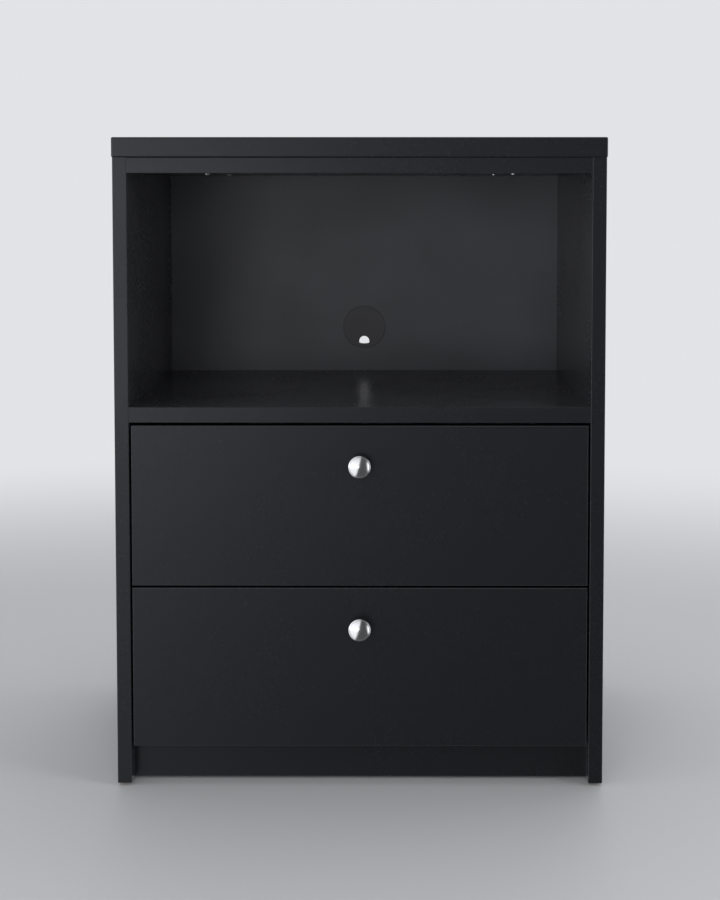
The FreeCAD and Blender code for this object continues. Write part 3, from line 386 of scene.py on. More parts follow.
def chipboard(tree, finish):
    """(colour, height) of a sawn chipboard edge: flat chips of several browns, coarser in the core."""
    here = placed(tree)
    chips, specks, holes = 260.0, 720.0, 900.0  # to the metre
    tint = add(tree, "SeparateColor", {0: cells(tree, here, chips, "Color")}).outputs[0]
    speck = add(tree, "SeparateColor", {0: cells(tree, here, specks, "Color")}).outputs[1]
    shade = maths(tree, "ADD", times(tree, tint, 0.6), times(tree, speck, 0.4))
    tone = mixed(tree, shade, finish.chip_dark, finish.chip_light)
    pits = ramp(tree, noise(tree, here, holes, 3.0), 0.34, 0.52)
    return mixed(tree, pits, finish.chip_dark, tone), times(tree, pits, shade)


def saw(tree, finish, sawn, tone, rough, surface):
    """(colour, roughness, normal) with chipboard laid bare where sawn is 1."""
    chips, height = chipboard(tree, finish)
    tone = mixed(tree, sawn, tone, chips)
    rough = ramp(tree, sawn, 0.0, 1.0, rough, 0.86)
    return tone, rough, bump(tree, times(tree, height, sawn), CHIP_DEPTH, surface)


def charcoal_board(name, box, ends=None, faces=None, band=None, niche_face=None, rim=1.0):
    """Charcoal melamine: a fine pearl emboss, faint clouds, and sawn chipboard on the ends without banding.

    box is the board's lowest and highest corners. Round its front face a lighter rim is painted, as strong as
    rim:
    partly scraped banding, partly a painted highlight standing in for the glint on the rounded edge. band is
    (axis, place, way) of the banded front edge, whose glue line shows as a hairline. niche_face is (axis,
    place, way) of the face that looks into the niche, which is painted lighter as light in the niche.
    """
    finish = bpy.context.scene.stand_boards
    material, tree, shader = new_material(name)
    here = placed(tree)
    axes = object_axes(tree)
    cloud_scale, mottle_scale, pearl_scale, grain_scale, peel_scale = 5.5, 210.0, 1150.0, 2600.0, 38.0
    pearl_depth, peel_depth = 0.030 * MM, 0.06 * MM

    clouds = ramp(tree, noise(tree, here, cloud_scale, 3.0, 0.55), 0.32, 0.68)
    mottle = ramp(tree, noise(tree, here, mottle_scale), 0.30, 0.70)
    tone = mixed(tree, times(tree, clouds, 0.8), finish.charcoal, finish.charcoal_deep)
    tone = mixed(tree, times(tree, mottle, 0.30), tone, finish.charcoal_deep)
    rough = ramp(tree, maths(tree, "ADD", mottle, clouds), 0.4, 1.6, 0.24, 0.28)
    pearl = cells(tree, here, pearl_scale, feature="SMOOTH_F1")
    emboss = maths(tree, "ADD", pearl, times(tree, noise(tree, here, grain_scale), 0.35))
    peel = bump(tree, noise(tree, here, peel_scale, 1.0), peel_depth)
    surface = bump(tree, emboss, pearl_depth, peel)

    reach = {X: maths(tree, "ABSOLUTE", axes[X]), Z: axes[Z]}
    # Painted light: the face that looks into the niche is made lighter, for the light that lifts the niche.
    if niche_face is not None:
        axis, place, way = niche_face
        niche_painted_light = mixed(tree, times(tree, clouds, 0.4), finish.niche_painted_light, finish.charcoal)
        tone = mixed(tree, beyond(tree, reach[axis], place, way), tone, niche_painted_light)
    edges = [
        maths(tree, "ABSOLUTE", maths(tree, "SUBTRACT", reach[axis], end[axis]))
        for axis in (X, Z)
        for end in box
    ]
    # Painted highlight: a lighter rim round the front face, partly scraped banding and partly standing in for
    # the rounded edge's glint.
    wide = finish.scraped_highlight_width
    near = any_of(tree, [ramp(tree, edge, wide * 0.5, wide, 1.0, 0.0) for edge in edges])
    scraped = times(tree, near, under(tree, axes[Y], box[0].y + wide))
    tone = mixed(tree, times(tree, scraped, rim), tone, finish.scraped)
    if band is not None:
        axis, place, way = band
        depth = times(tree, maths(tree, "SUBTRACT", axes[axis], place), -way)
        line = maths(tree, "COMPARE", depth, finish.banding)
        line.node.inputs[2].default_value = finish.glue / 2
        tone = mixed(tree, times(tree, line, 0.65), tone, finish.glue_line)
    if ends:
        sawn = sawn_mask(tree, ends, faces, finish.facing)
        if band is not None:
            sawn = times(tree, sawn, over(tree, depth, finish.banding))
        tone, rough, surface = saw(tree, finish, sawn, tone, rough, surface)
    feed(tree, shader, Base_Color=tone, Roughness=rough, Normal=surface)
    feed(tree, shader, Specular_IOR_Level=finish.gloss, Specular_Tint=(*finish.sheen, 1.0))
    return material


def back_board():
    """Hardboard: smooth charcoal facing inside, lacquered screen texture outside, bare fibre where cut."""
    finish = bpy.context.scene.stand_boards
    low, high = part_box("back_panel")
    flange_low, flange_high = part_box("cable_grommet")
    material, tree, shader = new_material("back_board")
    here = placed(tree)
    axes = object_axes(tree)
    mesh_scale = 130.0  # screen threads to the metre

    clouds = ramp(tree, noise(tree, here, 7.0, 3.0), 0.3, 0.7)
    # Inside face: the facing colour, made lighter as painted light for the niche.
    inside = mixed(tree, times(tree, clouds, 0.35), finish.back_facing_and_painted_light, finish.charcoal_deep)
    fibres = streaks(tree, (260.0, 1.0, 900.0), 3.0, 0.6)
    outside = mixed(tree, ramp(tree, fibres, 0.3, 0.75), finish.back_rough, finish.fibre)
    outside = mixed(tree, 0.80, outside, finish.back_rough)
    rear = beyond(tree, axes[Y], high.y, 1)
    tone = mixed(tree, rear, inside, outside)

    middle = (flange_low + flange_high) / 2
    across = add(tree, "CombineXYZ", {0: axes[X], 2: axes[Z]}).outputs[0]
    centre = (middle.x, 0.0, middle.z)
    reach = add(tree, "VectorMath", {0: across, 1: centre}, operation="DISTANCE").outputs["Value"]
    hole = under(tree, reach, (flange_high.x - flange_low.x) / 2)
    cut = any_of(tree, [hole, beyond(tree, axes[Z], low.z, -1)])
    cut = times(tree, cut, under(tree, axes[Y], high.y - HARD_FACE), over(tree, axes[Y], low.y + HARD_FACE))
    tone = mixed(tree, cut, tone, mixed(tree, fibres, finish.chip_dark, finish.fibre))
    rough = ramp(tree, any_of(tree, [rear, cut]), 0.0, 1.0, ramp(tree, clouds, 0.0, 1.0, 0.38, 0.44), 0.74)

    threads = [
        add(tree, "TexWave", {"Vector": here, "Scale": mesh_scale}, bands_direction=axis).outputs["Fac"]
        for axis in ("X", "Z")
    ]
    screen = maths(tree, "ADD", times(tree, *threads, rear), times(tree, fibres, rear))
    surface = bump(tree, noise(tree, here, 1600.0, 2.0), 0.03 * MM)
    surface = bump(tree, screen, 0.12 * MM, surface)
    feed(tree, shader, Base_Color=tone, Roughness=rough, Normal=surface, Specular_IOR_Level=finish.back_gloss)
    return material


def drawer_board(name, ends, faces):
    """Grey melamine with a fine linen emboss, and sawn chipboard on the ends that carry no banding."""
    finish = bpy.context.scene.stand_boards
    material, tree, shader = new_material(name)
    here = placed(tree)
    fine, drawn = 1900.0, 160.0  # linen threads to the metre, across and along
    along = streaks(tree, (fine, drawn, fine), 2.0, 0.6)
    upright = streaks(tree, (fine, fine, drawn), 2.0, 0.6)
    threads = times(tree, along, upright)
    tone = mixed(tree, ramp(tree, threads, 0.16, 0.36), finish.drawer_deep, finish.drawer)
    clouds = noise(tree, here, 9.0, 2.0)
    rough = ramp(tree, clouds, 0.3, 0.7, 0.42, 0.50)
    surface = bump(tree, threads, 0.05 * MM)
    sawn = sawn_mask(tree, ends, faces, finish.facing)
    tone, rough, surface = saw(tree, finish, sawn, tone, rough, surface)
    feed(tree, shader, Base_Color=tone, Roughness=rough, Normal=surface)
    return material


def box_bottom_board(name, top):
    """Thin hardboard, faced grey above, where it is as high as top, and bare below."""
    finish = bpy.context.scene.stand_boards
    material, tree, shader = new_material(name)
    axes = object_axes(tree)
    fibres = streaks(tree, (420.0, 420.0, 420.0), 4.0, 0.65)
    bare = mixed(tree, ramp(tree, fibres, 0.3, 0.7), finish.chip_dark, finish.fibre)
    threads = streaks(tree, (1900.0, 160.0, 1.0), 2.0)
    faced = mixed(tree, ramp(tree, threads, 0.3, 0.7), finish.drawer_deep, finish.drawer)
    above = over(tree, axes[Z], top - HARD_FACE)
    tone = mixed(tree, above, bare, faced)
    rough = ramp(tree, above, 0.0, 1.0, 0.82, 0.46)
    surface = bump(tree, maths(tree, "ADD", fibres, threads), 0.05 * MM)
    feed(tree, shader, Base_Color=tone, Roughness=rough, Normal=surface)
    return material


# ---------------------------------------------------------------- metal, plastic and wood materials
def plated(name, base, bloom, drawn_along, roughness, shade_painted_ends=None):
    """Bright zinc plating with a warm bloom and fine lines along the way it was drawn or rolled.

    shade_painted_ends is (front, back) of a rail along Y; its sheared end faces are painted near black and dull
    as shade, which hides their glint.
    """
    material, tree, shader = new_material(name)
    across, drawn = 1500.0, 26.0  # drawing lines to the metre, across and along
    stretch = [across, across, across]
    stretch[drawn_along] = drawn
    lines = streaks(tree, stretch, 3.0, 0.6)
    clouds = noise(tree, placed(tree), 34.0, 3.0, 0.6)
    tone = mixed(tree, ramp(tree, clouds, 0.40, 0.78, 0.0, 0.55), base, bloom)
    tone = mixed(tree, ramp(tree, lines, 0.35, 0.75, 0.0, 0.22), tone, shaded(base, 0.62))
    grit = maths(tree, "ADD", times(tree, lines, 0.7), times(tree, clouds, 0.5))
    rough = ramp(tree, grit, 0.3, 0.9, roughness - 0.06, roughness + 0.10)
    # Painted shade: the rail's end faces go near black and dull.
    if shade_painted_ends is not None:
        along = object_axes(tree)[Y]
        ends = any_of(tree, [beyond(tree, along, shade_painted_ends[0], -1), beyond(tree, along, shade_painted_ends[1], 1)])
        tone = mixed(tree, ends, tone, bpy.context.scene.stand_metals.bare)
        rough = ramp(tree, ends, 0.0, 1.0, rough, 0.70)
    feed(tree, shader, Base_Color=tone, Roughness=rough, Normal=bump(tree, lines, 0.012 * MM), Metallic=1.0)
    return material


def grained_metal(name, base, scale, roughness, depth):
    """Cast or ground metal with an even grain."""
    material, tree, shader = new_material(name)
    here = placed(tree)
    grain = noise(tree, here, scale, 3.0, 0.6)
    tone = mixed(tree, ramp(tree, grain, 0.3, 0.8), base, shaded(base, 0.72))
    rough = ramp(tree, grain, 0.3, 0.7, roughness - 0.05, roughness + 0.07)
    feed(tree, shader, Base_Color=tone, Roughness=rough, Normal=bump(tree, grain, depth), Metallic=1.0)
    return material


def turned_nickel(name, centre):
    """Satin nickel with the fine rings that turning leaves round the knob's axis."""
    finish = bpy.context.scene.stand_metals
    material, tree, shader = new_material(name)
    here = placed(tree, centre=centre)
    axes = add(tree, "SeparateXYZ", {0: here}).outputs
    across = add(tree, "CombineXYZ", {0: axes[X], 2: axes[Z]}).outputs[0]
    reach = add(tree, "VectorMath", {0: across}, operation="LENGTH").outputs["Value"]
    ring_scale, step_scale = 5200.0, 900.0  # turning rings to the metre, outwards and along the axis
    ring = add(tree, "CombineXYZ", {0: times(tree, reach, ring_scale), 1: times(tree, axes[Y], step_scale)})
    rings = noise(tree, ring.outputs[0], 1.0, 2.0, 0.6)
    haze = noise(tree, here, 160.0, 3.0)
    darker = shaded(finish.nickel, 0.80)
    tone = mixed(tree, ramp(tree, rings, 0.35, 0.75, 0.0, 0.35), finish.nickel, darker)
    rough = ramp(tree, maths(tree, "ADD", rings, haze), 0.7, 1.3, 0.15, 0.24)
    feed(tree, shader, Base_Color=tone, Roughness=rough, Normal=bump(tree, rings, 0.006 * MM), Metallic=1.0)
    return material


def moulded_plastic(name, base, scale):
    """Black moulded plastic with a spark-eroded texture."""
    material, tree, shader = new_material(name)
    here = placed(tree)
    grain = noise(tree, here, scale, 3.0, 0.6)
    tone = mixed(tree, ramp(tree, grain, 0.35, 0.75, 0.0, 0.6), base, shaded(base, 1.7))
    rough = ramp(tree, grain, 0.3, 0.7, 0.46, 0.60)
    feed(tree, shader, Base_Color=tone, Roughness=rough, Normal=bump(tree, grain, 0.04 * MM))
    return material


def beech_wood():
    """Beech with its grain along the dowel and short dark rays."""
    finish = bpy.context.scene.stand_metals
    material, tree, shader = new_material("beech")
    grain = streaks(tree, (22.0, 620.0, 620.0), 3.0, 0.6)
    rays = ramp(tree, streaks(tree, (160.0, 1900.0, 1900.0), 2.0), 0.56, 0.68)
    tone = mixed(tree, ramp(tree, grain, 0.3, 0.7), shaded(finish.beech, 0.78), finish.beech)
    tone = mixed(tree, times(tree, rays, 0.4), tone, shaded(finish.beech, 0.5))
    rough = ramp(tree, grain, 0.3, 0.7, 0.55, 0.68)
    feed(tree, shader, Base_Color=tone, Roughness=rough, Normal=bump(tree, grain, 0.08 * MM))
    return material


# ---------------------------------------------------------------- modelling helpers
def deselect_all():
    """Leaves object mode with nothing selected."""
    if bpy.context.mode != "OBJECT":
        bpy.ops.object.mode_set(mode="OBJECT")
    bpy.ops.object.select_all(action="DESELECT")


def choose_only(*pieces):
    """Selects only these pieces, with the first one active."""
    deselect_all()
    for piece in pieces:
        piece.select_set(True)
    bpy.context.view_layer.objects.active = pieces[0]


def pick_faces(chosen):
    """In edit mode, selects only the faces that chosen picks."""
    piece = bpy.context.edit_object
    bpy.ops.mesh.select_all(action="DESELECT")
    bpy.ops.mesh.select_mode(type="FACE")
    mesh = bmesh.from_edit_mesh(piece.data)
    for face in mesh.faces:
        face.select_set(chosen(face))
    bmesh.update_edit_mesh(piece.data)


def settle(piece):
    """Puts the piece's place and turn into its mesh."""
    choose_only(piece)
    bpy.ops.object.transform_apply(location=True, rotation=True, scale=True)


def turned(name, outline, steps):
    """A piece turned round the Z axis. outline is (radius, height) from foot to top, both on the axis."""
    deselect_all()
    start = Vector((outline[0][0], 0.0, outline[0][1]))
    bpy.ops.mesh.primitive_plane_add(size=1.0 * MM, location=start)
    piece = bpy.context.object
    piece.name = piece.data.name = name
    settle(piece)
    bpy.ops.object.mode_set(mode="EDIT")
    bpy.ops.mesh.select_mode(type="VERT")
    bpy.ops.mesh.select_all(action="SELECT")
    bpy.ops.mesh.merge(type="CENTER")
    here = start
    for radius, height in outline[1:]:
        there = Vector((radius, 0.0, height))
        bpy.ops.mesh.extrude_vertices_move(TRANSFORM_OT_translate={"value": there - here})
        here = there
    bpy.ops.mesh.select_all(action="SELECT")
    bpy.ops.mesh.spin(steps=steps, angle=math.tau, center=(0.0, 0.0, 0.0), axis=(0.0, 0.0, 1.0))
    bpy.ops.mesh.select_all(action="SELECT")
    bpy.ops.mesh.remove_doubles(threshold=WELD)
    bpy.ops.mesh.normals_make_consistent(inside=False)
    bpy.ops.object.mode_set(mode="OBJECT")
    return piece


def arc(centre, radius, start, end, steps):
    """Points of an arc in (radius, height), from one angle to the other, both in degrees."""
    angles = [math.radians(start + (end - start) * i / steps) for i in range(steps + 1)]
    return [(centre[0] + radius * math.cos(a), centre[1] + radius * math.sin(a)) for a in angles]


def dome(radius, base, apex, steps):
    """Points of a spherical cap from its rim to the axis, the rim itself left out."""
    rise = apex - base
    sphere = (radius**2 + rise**2) / (2 * rise)
    widest = math.asin(radius / sphere)
    angles = [widest * (1 - i / steps) for i in range(1, steps + 1)]
    return [(max(0.0, sphere * math.sin(a)), apex - sphere * (1 - math.cos(a))) for a in angles]


def dressed(piece, body, slot, material, *stands_for):
    """Finishes a piece: its shading, its material, what it rides on and what it stands for."""
    choose_only(piece)
    bpy.ops.object.shade_smooth_by_angle(angle=SMOOTH_ANGLE)
    piece.data.materials.clear()
    piece.data.materials.append(material)
    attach(piece, body)
    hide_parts(*stands_for)


# ---------------------------------------------------------------- knobs
def knob_outline(sizes):
    """Outline of the knob from its foot to the top of its dome, along +Z from the drawer front's face."""
    rim = sizes.projection - sizes.dome
    back = rim - sizes.rim_thickness
    edge = sizes.edge_radius
    face = sizes.radius - edge
    fillet = sizes.foot_radius - sizes.neck_radius
    foot_top = sizes.foot_thickness + fillet
    neck_top = (foot_top + back) / 2
    wide, high = face - sizes.neck_radius, back - neck_top
    flare = (wide**2 + high**2) / (2 * wide)
    lean = math.degrees(math.asin(high / flare))
    chamfer = 0.3 * MM  # on the foot's lower corner
    fillet_steps, flare_steps, edge_steps, dome_steps = 8, 14, 7, 40
    points = [(0.0, 0.0), (sizes.foot_radius - chamfer, 0.0), (sizes.foot_radius, chamfer)]
    points += arc((sizes.foot_radius, foot_top), fillet, 270.0, 180.0, fillet_steps)
    points += arc((sizes.neck_radius + flare, neck_top), flare, 180.0, 180.0 - lean, flare_steps)
    points += arc((face, back + edge), edge, 270.0, 360.0, edge_steps)[1:]
    points += arc((face, rim - edge), edge, 0.0, 90.0, edge_steps)
    crown = dome(face, rim, sizes.projection, dome_steps)
    half, quarter = sizes.groove_width / 2, sizes.groove_width / 4
    middle = sizes.radius - sizes.groove_inset - half
    clear = half + 0.05 * MM  # from the groove's middle to the dome's nearest points
    base = min(crown, key=lambda point: abs(point[0] - middle))[1]
    groove = [
        (middle + half, base),
        (middle + quarter, base - sizes.groove_depth),
        (middle - quarter, base - sizes.groove_depth),
        (middle - half, base + sizes.groove_depth / 4),
    ]
    outer_side = [point for point in crown if point[0] > middle + clear]
    inner_side = [point for point in crown if point[0] < middle - clear]
    return points + outer_side + groove + inner_side


class STAND_OT_turn_knobs(bpy.types.Operator):
    """Turns the two satin nickel knobs, with domed faces, a fine groove inside the rim and waisted necks"""

    bl_idname = "stand.turn_knobs"
    bl_label = "Turn the knobs"

    def execute(self, context):
        sizes = context.scene.stand_knobs
        for drawer in DRAWERS:
            low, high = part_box(f"{drawer}_knob")
            foot = Vector(((low.x + high.x) / 2, high.y, (low.z + high.z) / 2))
            knob = turned(f"{drawer}_turned_knob", knob_outline(sizes), sizes.steps)
            knob.rotation_euler = (math.pi / 2, 0.0, 0.0)
            knob.location = foot
            settle(knob)
            nickel = turned_nickel(f"satin_nickel_{drawer}", foot)
            dressed(knob, f"{drawer}_drawer", "satin_nickel", nickel, f"{drawer}_knob")
        return {"FINISHED"}


# ---------------------------------------------------------------- screws
def screw_places(node, axis):
    """(middle of the head's outer end, way it drives, head radius, length) of each screw in a CAD node.

    Two screws on one line along the axis lie on opposite sides of the object's middle.
    """
    across = [i for i in (X, Y, Z) if i != axis]
    groups = []
    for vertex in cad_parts[node].data.vertices:
        place = vertex.co
        for group in groups:
            first = group[0]
            apart = math.hypot(*(place[i] - first[i] for i in across))
            if apart < SAME_SCREW and place[axis] * first[axis] > 0:
                group.append(place)
                break
        else:
            groups.append([place])
    found = []
    for group in groups:
        low = Vector([min(p[i] for p in group) for i in range(3)])
        high = Vector([max(p[i] for p in group) for i in range(3)])
        middle = (low + high) / 2
        widest = max(group, key=lambda p: math.hypot(*(p[i] - middle[i] for i in across)))
        way = Vector((0.0, 0.0, 0.0))
        way[axis] = 1.0 if widest[axis] < middle[axis] else -1.0
        head = middle.copy()
        head[axis] = low[axis] if way[axis] > 0 else high[axis]
        radius = max(high[i] - low[i] for i in across) / 2
        found.append((head, way, radius, high[axis] - low[axis]))
    return found


def cross_cutter(radius, head, sizes):
    """A tapered cross that cuts the driver's recess into a head whose outer end is at the origin."""
    width = 2 * radius * sizes.recess_width
    arm = radius * sizes.recess_span - width / 2
    deep = head * sizes.recess_depth
    deselect_all()
    bpy.ops.mesh.primitive_cube_add(size=1.0, location=(0.0, 0.0, 0.0), scale=(width, width, 2 * deep))
    cutter = bpy.context.object
    settle(cutter)
    bpy.ops.object.mode_set(mode="EDIT")
    pick_faces(lambda face: abs(face.normal.z) < 0.5)
    bpy.ops.mesh.extrude_faces_move(TRANSFORM_OT_shrink_fatten={"value": arm})
    pick_faces(lambda face: face.normal.z < -0.9)
    taper = sizes.recess_taper
    bpy.ops.transform.resize(value=(taper, taper, 1.0), center_override=(0.0, 0.0, -deep))
    bpy.ops.object.mode_set(mode="OBJECT")
    return cutter


def screw(name, radius, head, shank, length, domed, sizes):
    """One cross-headed screw along -Z, with the outer end of its head at the origin."""
    tip, blunt = shank * 1.6, 0.25  # length of the point, and how much of it is blunt
    points = [(0.0, -length), (shank * blunt, -length + tip * blunt), (shank, -length + tip), (shank, -head)]
    if domed:
        rim, dome_steps = head * 0.7, 9
        points += [(radius * 0.94, -head), (radius, -head * 0.93), (radius, -rim)]
        points += dome(radius, -rim, 0.0, dome_steps)
    else:  # a cone that ends in a narrow rim with broken corners
        points += [(radius - 0.12 * MM, -0.22 * MM), (radius, -0.14 * MM), (radius - 0.1 * MM, 0.0)]
        points += [(radius * 0.6, 0.0), (0.0, 0.0)]
    piece = turned(name, points, sizes.steps)
    cutter = cross_cutter(radius, head, sizes)
    choose_only(piece)
    bpy.ops.object.modifier_add(type="BOOLEAN")
    recess = piece.modifiers[-1]
    recess.object = cutter
    recess.operation = "DIFFERENCE"
    recess.solver = "EXACT"
    bpy.ops.object.modifier_apply(modifier=recess.name)
    choose_only(cutter)
    bpy.ops.object.delete()
    return piece


def drive_screws(node, name, axis, body, head, shank, domed, material):
    """Models one screw of a CAD node, sets a copy at each screw's place and joins the copies."""
    sizes = bpy.context.scene.stand_screws
    places = screw_places(node, axis)
    if not places:
        raise RuntimeError(f"no screws were found in {node}")
    _, _, radius, long = places[0]
    pattern = screw(name, radius, head, shank, long, domed, sizes)
    copies = []
    for number, (end, way, _, _) in enumerate(places):
        choose_only(pattern)
        bpy.ops.object.duplicate(linked=False)
        copy = bpy.context.object
        copy.rotation_mode = "QUATERNION"
        turn = Vector((0.0, 0.0, -1.0)).rotation_difference(way)
        spin = Quaternion((0.0, 0.0, 1.0), number * RECESS_TURN)
        copy.rotation_quaternion = turn @ spin
        copy.location = end
        settle(copy)
        copies.append(copy)
    choose_only(pattern)
    bpy.ops.object.delete()
    choose_only(*copies)
    if len(copies) > 1:
        bpy.ops.object.join()
    joined = bpy.context.object
    joined.name = joined.data.name = name
    dressed(joined, body, "zinc_steel", material, node)


def drive_sets(kind, domed, roughness, sets):
    """Drives sets of screws, each (CAD node, new name, axis, body, (head height, shank radius)).

    The plating's fine lines run along the screws' axis.
    """
    metals = bpy.context.scene.stand_metals
    zinc = {}
    for node, name, axis, body, (head, shank) in sets:
        if axis not in zinc:
            way = ("sideways", "forward", "upright")[axis]
            zinc[axis] = plated(f"zinc_{kind}_{way}", metals.zinc, metals.zinc_warm, axis, roughness)
        drive_screws(node, name, axis, body, head, shank, domed, zinc[axis])


class STAND_OT_drive_pan_screws(bpy.types.Operator):
    """Sets the domed screws: under the niche's ceiling, and inside the drawers for fronts and knobs"""

    bl_idname = "stand.drive_pan_screws"
    bl_label = "Drive the domed screws"

    def execute(self, context):
        sizes = context.scene.stand_screws
        board, knob = (sizes.board_head, sizes.board_shank), (sizes.knob_head, sizes.board_shank)
        sets = [("worktop_screws", "worktop_pan_screws", Z, "cabinet", board)]
        for drawer in DRAWERS:
            body = f"{drawer}_drawer"
            sets += [
                (f"{drawer}_front_screws", f"{drawer}_front_pan_screws", Y, body, board),
                (f"{drawer}_knob_screw", f"{drawer}_knob_pan_screw", Y, body, knob),
            ]
        drive_sets("screw", True, 0.24, sets)
        return {"FINISHED"}


class STAND_OT_drive_flat_screws(bpy.types.Operator):
    """Sets the countersunk screws of the back panel, the rails and the drawer boxes"""

    bl_idname = "stand.drive_flat_screws"
    bl_label = "Drive the countersunk screws"

    def execute(self, context):
        sizes = context.scene.stand_screws
        panel = (sizes.panel_head, sizes.panel_shank)
        rail = (sizes.rail_head, sizes.rail_shank)
        box = (sizes.box_head, sizes.box_shank)
        sets = [
            ("back_panel_screws", "back_panel_flat_screws", Y, "cabinet", panel),
            ("cabinet_rail_screws", "cabinet_rail_flat_screws", X, "cabinet", rail),
        ]
        for drawer in DRAWERS:
            body = f"{drawer}_drawer"
            sets += [
                (f"{drawer}_drawer_rail_screws", f"{drawer}_drawer_rail_flat_screws", X, body, rail),
                (f"{drawer}_box_screws", f"{drawer}_box_flat_screws", X, body, box),
                (f"{drawer}_bottom_screws", f"{drawer}_bottom_flat_screws", Z, body, panel),
            ]
        drive_sets("flat_screw", False, 0.26, sets)
        return {"FINISHED"}


# ---------------------------------------------------------------- finishes of the CAD nodes
class STAND_OT_face_carcass(bpy.types.Operator):
    """Faces the carcass boards and drawer fronts in charcoal melamine, with sawn ends where no banding goes"""

    bl_idname = "stand.face_carcass"
    bl_label = "Face the carcass and fronts"

    def execute(self, context):
        # rim: strength of the painted highlight rim on the carcass boards; the drawer fronts below take it at
        # full strength.
        rim = context.scene.stand_boards.rim
        low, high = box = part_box("right_side_panel")
        ends = [(Y, high.y, 1), (Z, low.z, -1), (Z, high.z, 1)]
        # The side panel's inner face looks into the niche and takes the painted light.
        faces, band, niche_face = (X, low.x, high.x), (Y, low.y, -1), (X, low.x, -1)
        sides = charcoal_board("charcoal_side_panel", box, ends, faces, band, niche_face, rim)
        give([f"{side}_side_panel" for side in SIDES], sides)

        low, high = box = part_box("worktop")
        top = charcoal_board("charcoal_worktop", box, [(Y, high.y, 1)], (Z, low.z, high.z), rim=rim)
        give(["worktop"], top)

        for deck in ("ceiling_deck", "microwave_shelf", "bottom_deck"):
            low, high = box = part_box(deck)
            ends = [(Y, high.y, 1), (X, high.x, 1), (X, low.x, -1)]
            faces, band = (Z, low.z, high.z), (Y, low.y, -1)
            # The deck's face towards the niche takes the painted light.
            niche_face = (Z, low.z, -1) if deck == "ceiling_deck" else (Z, high.z, 1)
            give([deck], charcoal_board(f"charcoal_{deck}", box, ends, faces, band, niche_face, rim))

        for plinth in ("front_plinth", "rear_plinth"):
            low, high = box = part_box(plinth)
            ends = [(Z, high.z, 1), (X, high.x, 1), (X, low.x, -1)]
            give([plinth], charcoal_board(f"charcoal_{plinth}", box, ends, (Y, low.y, high.y), rim=rim))

        for drawer in DRAWERS:
            front = f"{drawer}_drawer_front"
            give([front], charcoal_board(f"charcoal_{front}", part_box(front)))
        return {"FINISHED"}


class STAND_OT_face_back(bpy.types.Operator):
    """Faces the hardboard back panel"""

    bl_idname = "stand.face_back"
    bl_label = "Face the back panel"

    def execute(self, context):
        give(["back_panel"], back_board())
        return {"FINISHED"}


class STAND_OT_face_drawer_boxes(bpy.types.Operator):
    """Faces the drawer boxes in grey melamine, with sawn ends and bare hardboard under the bottoms"""

    bl_idname = "stand.face_drawer_boxes"
    bl_label = "Face the drawer boxes"

    def execute(self, context):
        for drawer in DRAWERS:
            low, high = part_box(f"{drawer}_box_right_side")
            ends = [(Y, high.y, 1), (Y, low.y, -1), (Z, low.z, -1)]
            sides = drawer_board(f"grey_{drawer}_box_sides", ends, (X, low.x, high.x))
            give([f"{drawer}_box_{side}_side" for side in SIDES], sides)
            for end in ("front", "back"):
                low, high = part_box(f"{drawer}_box_{end}")
                ends = [(Z, low.z, -1), (X, high.x, 1), (X, low.x, -1)]
                board = drawer_board(f"grey_{drawer}_box_{end}", ends, (Y, low.y, high.y))
                give([f"{drawer}_box_{end}"], board)
            bottom = f"{drawer}_box_bottom"
            give([bottom], box_bottom_board(f"grey_{bottom}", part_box(bottom)[1].z))
        return {"FINISHED"}


class STAND_OT_plate_rails(bpy.types.Operator):
    """Plates the three members of the telescopic rails and polishes their caged balls"""

    bl_idname = "stand.plate_rails"
    bl_label = "Plate the rails"

    def execute(self, context):
        metals = context.scene.stand_metals
        bearing = grained_metal("bearing_steel", metals.bearing, scale=2400.0, roughness=0.16, depth=0.004 * MM)
        for member in ("cabinet", "middle", "drawer"):
            low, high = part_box(f"{DRAWERS[0]}_{SIDES[0]}_{member}_rail")
            ends = (low.y, high.y)
            zinc = plated(f"zinc_plated_{member}_rail", metals.rail, metals.zinc_warm, Y, 0.30, shade_painted_ends=ends)
            give([f"{drawer}_{side}_{member}_rail" for drawer in DRAWERS for side in SIDES], zinc)
        for drawer in DRAWERS:
            give([f"{drawer}_outer_ball_cages", f"{drawer}_inner_ball_cages"], bearing)
        return {"FINISHED"}


class STAND_OT_finish_fittings(bpy.types.Operator):
    """Finishes the small fittings: cams, bolts, dowels, glides, grommet, bumpers and release levers"""

    bl_idname = "stand.finish_fittings"
    bl_label = "Finish the small fittings"

    def execute(self, context):
        metals = context.scene.stand_metals
        cast = grained_metal("cast_zinc", metals.cast, scale=700.0, roughness=0.50, depth=0.03 * MM)
        bolt = plated("zinc_bolt", metals.zinc, metals.zinc_warm, drawn_along=X, roughness=0.28)
        give(["cam_discs"], cast)
        give(["cam_bolts"], bolt)
        give(["carcass_dowels"], beech_wood())
        give(["floor_glides"], moulded_plastic("glide_plastic", metals.plastic, scale=900.0))
        black = moulded_plastic("black_plastic", metals.plastic, scale=1500.0)
        give(["cable_grommet", "rail_bumpers"] + [f"{drawer}_release_levers" for drawer in DRAWERS], black)
        return {"FINISHED"}


